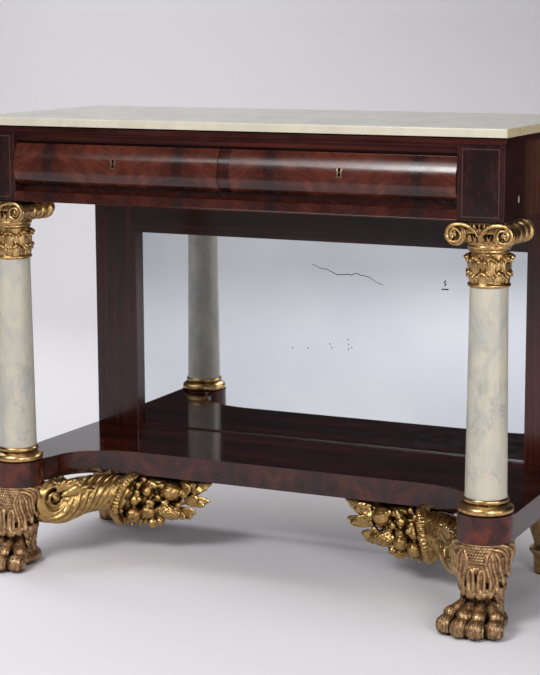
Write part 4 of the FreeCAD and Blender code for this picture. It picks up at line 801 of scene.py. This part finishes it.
LEAF_FANS = [((232, 234, 140), [(152, 238, 163), (162, 236, 152), (174, 231, 144), (170, 247, 155), (185, 226, 160)]),
             ((228, 230, 122), [(157, 236, 124), (166, 230, 115), (180, 226, 130), (170, 246, 118)]),
             ((236, 230, 98), [(198, 232, 84), (190, 234, 96), (206, 240, 80), (212, 222, 82)]),
             ((212, 226, 150), [(196, 220, 148), (204, 218, 136), (206, 222, 160), (215, 217, 128)])]
FRILLS = [(358, 200, 70), (349, 202, 66), (340, 204, 70), (331, 206, 66), (322, 208, 70), (313, 210, 66)]
FLANK_STEPS = 60                # of the small scroll on each flank, which winds in from its reach
FLANK_STEP_TURN = 10.5
FLANK_REACH = 26
# the leaves that grow from the scroll over the horn's flanks, root and tips: ahead, height, how far aside
SCROLL_FANS = [((8, 12, 16), [(10, 33, 17), (23, 35, 20), (38, 34, 24), (52, 29, 29)]),
               ((20, 3, 20), [(58, 24, 31), (72, 18, 34), (84, 9, 35)]),
               ((24, -7, 19), [(86, -5, 35), (80, -16, 34), (66, -24, 31)])]

front_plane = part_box("corner_block_right")[0].y / MM


def spot(x, y, z):
    """A point by its millimetres from the table's middle, the corner blocks' front and the floor."""
    return Vector((x, y + front_plane, z)) * MM


def wheel(first, second, angle):
    """A direction between two others, turned by an angle from the first."""
    return first * math.cos(angle) + second * math.sin(angle)


turn = math.radians(SCROLL_TURN)
onward = Vector((-math.sin(turn), math.cos(turn), 0)) * MM
across = Vector((math.cos(turn), math.sin(turn), 0)) * MM
centre = spot(*SCROLL_CENTRE)
bead([(centre + wheel(onward, UP, math.radians(angle)) * distance, radius)
      for angle, distance, radius in eased(SCROLL_COURSE, 5)])
lobe(centre - across * 9, centre + across * 9, 9, 9, UP)
course = eased(HORN_COURSE, 5)
places = [spot(*p[:3]) for p in course]
frames = []
for place, before, after, (*_, half_width, half_height) in zip(places, places[:1] + places, places[1:] + places[-1:],
                                                               course):
    ahead = (after - before).normalized()
    level = ahead.cross(UP).normalized()
    frames.append((place, level * MM, level.cross(ahead) * MM, half_width, half_height))
for step in range(0, len(frames) - 5, 2):
    half_width, half_height = frames[step + 4][3:]
    lobe(places[step], places[min(step + 8, len(places) - 1)], half_width * 1.4, half_height * 1.4, UP)
length = sum((b - a).length for a, b in zip(places, places[1:])) / MM
for flute in range(FLUTES_ROUND):
    path = []
    for step, (place, level, above, half_width, half_height) in enumerate(frames):
        share = step / (len(frames) - 1)
        angle = math.radians(flute * 360 / FLUTES_ROUND + FLUTE_TWIST * share ** 1.5)
        pitch = length * 360 / FLUTES_ROUND / abs(FLUTE_TWIST * 1.5 * (share + 0.02) ** 0.5)
        apart = (half_width + half_height) * math.pi / FLUTES_ROUND
        radius = 0.5 * pitch * apart / math.hypot(pitch, apart)
        path.append((place + wheel(level * (half_width - radius * 0.6), above * (half_height - radius * 0.6), angle),
                     radius))
    bead(path)
lobe(places[0] - onward * 17, places[0] + onward * 20, 38, 39, UP)
mouth = spot(*MOUTH)
mouth_up = Vector(MOUTH_UP) * MM
mouth_out = Vector(MOUTH_OUT).normalized() * MM
mouth_across = mouth_out.cross(mouth_up).normalized() * MOUTH_HALF_WIDTH * MM
ring = [mouth + wheel(mouth_up * 0.98, mouth_across, step / ROPE_STEPS * 2 * math.pi) for step in range(ROPE_STEPS + 1)]
for out, radius in MOUTH_ROLLS:
    bead([(place + mouth_out * out, radius) for place in ring])
for step, (place, after) in enumerate(zip(ring, ring[1:])):
    spread = (place - mouth).normalized() * MM
    onto = (after - place).normalized() * MM
    for row in range(5):
        facing = wheel(spread, mouth_out, math.radians(-62 + row * 31 + 15 * (step % 2)))
        strand = place + mouth_out * 2 + facing * 8.2
        slant = onto * 2.4 + onto.cross(facing) / MM * 2.2
        lobe(strand - slant, strand + slant, 3, 6.4, facing)
for start, end, width, thickness in BLOCK:
    lobe(spot(*start), spot(*end), width, thickness, UP)
for x, y, z, radius in APPLES:
    place = spot(x, y, z)
    out = (Vector((0.35, -1, 0.25)).normalized() if y < APPLES_BEHIND else Vector((0.2, 1, 0))) * MM
    lobe(place - UP * radius * 0.94, place + UP * radius * 0.94, radius * 2, radius * 2, out)
    eye = place + out * radius * 0.88
    sideways = out.cross(UP).normalized() * MM
    for petal in range(5):
        lobe(eye, eye + wheel(sideways, UP, petal * math.pi * 0.4) * radius * 0.34 + out, 2.6, 3.4, out)
for x, y, z, radius in BERRIES:
    place = spot(x, y, z)
    lobe(place - UP * radius, place + UP * radius, radius * 2, radius * 2, onward)
for low, low_radius, high, high_radius in PEARS:
    low, high = spot(*low), spot(*high)
    axis = (high - low).normalized() * MM
    lobe(low - axis * low_radius, low + axis * low_radius, low_radius * 2, low_radius * 2, onward)
    lobe(low - axis * low_radius * 0.4, high + axis * high_radius, high_radius * 2.1, high_radius * 2.1, onward)
ball = spot(*POMEGRANATE)
size = POMEGRANATE_RADIUS
facing = Vector((0.1, -1, -0.05)).normalized() * MM
sideways = facing.cross(UP).normalized() * MM
lobe(ball - sideways * size * 1.05, ball + sideways * size * 1.05, size * 2, size * 1.9, UP)
slit = ball + facing * size * 0.99
for edge in (-1, 1):
    bead([(slit + wheel(sideways * size * 0.62, UP * edge * size * 0.34, angle)
           - facing * size * 0.2 * abs(math.cos(angle)), 1.7)
          for angle in [math.radians(step * 15) for step in range(13)]])
for row in (-1, 0, 1):
    for seed in range(-3, 4):
        if abs(seed) + abs(row) < 4:
            place = slit + (sideways * seed + UP * row) * SEED_SPACING - facing * (1.4 + 0.16 * seed * seed)
            lobe(place - UP * 1.6, place + UP * 1.6, 3.1, 4, facing)
start, end = (spot(*place) for place in CORN)
along = (end - start).normalized() * MM
level = along.cross(UP).normalized() * MM
above = level.cross(along) / MM
lobe(start - along * 3, end + along * 3, 32, 34, UP)
for row in range(CORN_ROWS):
    share = (row + 0.5) / CORN_ROWS
    radius = CORN_RADIUS * math.sqrt(1 - (2 * share - 1) ** 2 * 0.86)
    for kernel in range(KERNELS_ROUND):
        out = wheel(level, above, (kernel + 0.5 * (row % 2)) * 2 * math.pi / KERNELS_ROUND)
        place = start + (end - start) * share + out * radius
        lobe(place - along * 2.7, place + along * 2.7, radius * 0.31, 6, out)
for root, tips in LEAF_FANS:
    root = spot(*root)
    for tip in tips:
        run = spot(*tip) - root
        lobe(root, spot(*tip), 21, 6, facing)
        for aside in (-1, 1):
            edge = run.cross(facing).normalized() * aside * MM
            for share in (0.35, 0.55, 0.75):
                start = root + run * share
                lobe(start - run * 0.1, start + run * 0.16 + edge * 12 * (1.15 - share), 6, 6, facing)
        bead([(root + run * t + facing * 2.6, 1.7 - t) for t in (0.1, 0.4, 0.7, 0.98)])
for frill in FRILLS:
    frill = spot(*frill)
    lobe(frill + UP * 14, frill - UP * 7, 8, 12, facing)
    lobe(frill - UP * 2, frill - UP * 6 + facing * 6, 7, 5, UP)
turned("cylinder", centre, (math.pi / 2, 0, turn - math.pi / 2), vertices=40, radius=24, depth=22)
for flank in (across * -1, across):
    bead([(centre + flank * (11 + step * 0.1) + wheel(onward, UP, math.radians(-90 - step * FLANK_STEP_TURN))
           * (FLANK_REACH * (1 - step / FLANK_STEPS) ** 0.75 + 4), 6.4 - step * 0.05)
          for step in range(FLANK_STEPS + 1)])
    lobe(centre + flank * 10, centre + flank * 23, 14, 14, UP)
    for fan, tips in SCROLL_FANS:
        root, *tips = (centre + onward * ahead + UP * up + flank * aside for ahead, up, aside in [fan] + tips)
        for tip in tips:
            run = tip - root
            lobe(root - run * 0.15, tip, 11, 8, flank)
            lobe(root + run * 0.62, tip + flank * 3, 8.5, 7, flank)
horn = fuse_carving("cornucopia_carved_right", toned_gold, voxel=1.6, smooth=4)
stand_for(horn, "cornucopia_right", "cornucopia_left", mirrored=True)

# ---- Flaws of age ----
# The old mirror has cracked across below the middle of its top, and its silver has perished in a few small spots. A
# chip of veneer is missing from the right end of the frieze, where the pale poplar shows.
GLASS_FRONT = 257
CRACK = [(-31.4, 609.5), (-11.2, 600.8), (1.8, 600.2), (15.9, 594.6), (27.2, 589.2), (55.8, 591.4), (61.6, 589.8),
         (67.5, 593.2), (76.8, 594.1), (82.6, 590.3), (90.7, 591.4), (95.4, 588.7), (101.1, 588.8), (117.4, 578.7),
         (134.7, 572.8)]
PERISHED = [[(277, 590), (273, 586.5), (277.5, 583), (274, 579)], [(268, 571), (276, 572), (283, 571.5)]]
FAINT_SPOTS = [(-78, 422), (-41, 424), (11, 437), (16, 429), (54, 449), (55, 439), (55, 429), (63, 433)]
CHIP = [(-142, 801, 1.0), (-141, 808, 1.8), (-142, 814, 0.8)]
panel_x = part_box("frieze_end_panel_right")[1].x / MM

for name, tone, slot, traces in (
        ("mirror_crack", "#46474A", "mirror_glass",
         [[(x, GLASS_FRONT, z, 0.95 - abs(x - 50) * 0.005) for x, z in CRACK]]),
        ("mirror_perished", "#2E2F32", "mirror_glass",
         [[(x, GLASS_FRONT, z, 1.4) for x, z in run] for run in PERISHED]),
        ("mirror_spots", "#6E7277", "mirror_glass",
         [[(x, GLASS_FRONT, z - 1.5, 1.2), (x, GLASS_FRONT, z + 1.5, 1.2)] for x, z in FAINT_SPOTS]),
        ("veneer_chip", "#B9A58C", "poplar", [[(panel_x, *point) for point in CHIP]])):
    for trace in traces:
        bead([(Vector(place) * MM, radius) for *place, radius in trace])
    flaw = join_forms(name)
    material, tree, shader = new_material(f"{name}_bare", {"Roughness": 0.6, "Base Color": linear(tone)})
    flaw.data.materials.append(material)
    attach(flaw, "table")
bpy.data.objects.remove(rounded_form)

# ---- Camera, light and stage ----
# A pale paper sweep with painted shade on it, soft boxes above and in front, and an otherwise dark studio.
CAMERA_PLACE = Vector((1.6834, -3.5026, 1.1466))
CAMERA_TURN = 25.785
CAMERA_TIP = 9.594
CAMERA_ROLL = -0.218
FOCAL_LENGTH = 102.69
SENSOR_WIDTH = 36

camera = bpy.data.objects.new("camera", bpy.data.cameras.new("camera"))
bpy.context.scene.collection.objects.link(camera)
camera.data.lens = FOCAL_LENGTH
camera.data.sensor_width = SENSOR_WIDTH
look = Euler((math.radians(90 - CAMERA_TIP), 0, math.radians(CAMERA_TURN))).to_matrix()
look = look @ Matrix.Rotation(math.radians(CAMERA_ROLL), 3, "Z")
camera.matrix_world = Matrix.Translation(CAMERA_PLACE) @ look.to_4x4()
bpy.context.scene.camera = camera

SWEEP_BACK = 2.6                # the paper turns up this far behind the table
SWEEP_FRONT = 8.0
PAPER_END = -6.1                # in front of it the studio floor is dark
SWEEP_WIDTH = 14.0
SWEEP_RADIUS = 1.6
SWEEP_HEIGHT = 4.0
# painted shade on the paper, and the dark studio floor in front of its end: where each starts, where it is full, and
# how deep; on the right, behind, in front, left and up
PAPER_SHADES = [(0.5, 1.4, 1.0), (0.9, 2.2, 1.0), (PAPER_END, PAPER_END - 0.1, 1.0), (-3.0, 0.3, 0.34), (0.2, 1.1, 1.0)]
bpy.ops.mesh.primitive_plane_add(size=1, location=(0, (SWEEP_BACK - SWEEP_FRONT) / 2, 0))
bpy.ops.transform.resize(value=(SWEEP_WIDTH, SWEEP_BACK + SWEEP_FRONT, 1))
bpy.ops.object.transform_apply(location=True, scale=True)
paper = bpy.context.object
paper.name = "paper_sweep"
bpy.ops.object.mode_set(mode="EDIT")
bpy.ops.mesh.select_all(action="DESELECT")
bpy.ops.object.mode_set(mode="OBJECT")
for edge in paper.data.edges:
    edge.select = all(paper.data.vertices[v].co.y > SWEEP_BACK - 0.01 for v in edge.vertices)
bpy.ops.object.mode_set(mode="EDIT")
bpy.ops.mesh.select_mode(type="EDGE")
bpy.ops.mesh.spin(steps=24, angle=-math.pi / 2, center=(0, SWEEP_BACK, SWEEP_RADIUS), axis=(1, 0, 0))
bpy.ops.mesh.extrude_region_move(TRANSFORM_OT_translate={"value": (0, 0, SWEEP_HEIGHT)})
bpy.ops.object.mode_set(mode="OBJECT")
bpy.ops.object.shade_smooth()
material, tree, shader = new_material("paper_seamless", {"Roughness": 1.0, "Specular IOR Level": 0.0})
place = add_node(tree, "TexCoord", output="Object")
x, y, z = (add_node(tree, "SeparateXYZ", {}, {0: place}, axis) for axis in "XYZ")
right, behind, before, left, upper = (
    add_node(tree, "MapRange", {"From Min": start, "From Max": full, "To Max": depth}, {"Value": along})
    for along, (start, full, depth) in zip((x, y, y, x, z), PAPER_SHADES))
# painted shade: the paper darkens behind the table's right end and up the wall, and in front of its end it turns into
# the dark studio floor
shade_and_dark_floor = add_node(tree, "Math", {"operation": "MULTIPLY"}, {0: right, 1: behind})
corner = add_node(tree, "Math", {"operation": "MULTIPLY"}, {0: left, 1: upper})
for shade in (before, corner):
    shade_and_dark_floor = add_node(tree, "Math", {"operation": "MAXIMUM"}, {0: shade_and_dark_floor, 1: shade})
colour = add_node(tree, "Mix", {"data_type": "RGBA", "A": linear("#E4E2E6"), "B": linear("#242223")},
                  {"Factor": shade_and_dark_floor})
tree.links.new(colour, shader.inputs["Base Color"])
# seen from its back the paper is clear, so that the table shows from behind too
back = add_node(tree, "NewGeometry", output="Backfacing")
clear = add_node(tree, "BsdfTransparent")
surface = add_node(tree, "MixShader", {}, {0: back, 1: shader.outputs[0], 2: clear})
tree.links.new(surface, tree.nodes["Material Output"].inputs["Surface"])
paper.data.materials.append(material)

world = bpy.data.worlds.new("studio")
bpy.context.scene.world = world
world.use_nodes = True
world.node_tree.nodes["Background"].inputs["Color"].default_value = linear("#303033")


def softbox(name, place, target, size, power):
    """A lit panel that faces the target."""
    light = bpy.data.objects.new(name, bpy.data.lights.new(name, "AREA"))
    bpy.context.scene.collection.objects.link(light)
    light.data.shape = "RECTANGLE"
    light.data.size, light.data.size_y = size
    light.data.energy = power
    light.location = place
    light.rotation_euler = (Vector(target) - Vector(place)).to_track_quat("-Z", "Y").to_euler()


softbox("key", (-0.4, -3.1, 2.4), (0.36, 0.0, 0.7), (1.1, 0.8), 57)
softbox("overhead", (0.0, -0.3, 3.5), (0, 0.0, 0.6), (3.0, 1.2), 35)
softbox("front_floor", (-1.8, -5.0, 3.8), (-2.0, -4.8, 0), (4.0, 2.0), 124)
softbox("right_fill", (3.1, -3.0, 1.6), (0.6, 0, 0.3), (1.6, 1.2), 70)
softbox("right_strip", (3.0, -0.85, 0.75), (0.5, -0.2, 0.6), (0.45, 1.4), 12)
softbox("sweep", (-2.6, 1.0, 2.6), (-2.5, 2.8, 0), (3.0, 1.0), 70)

bpy.context.scene.view_settings.view_transform = "Standard"
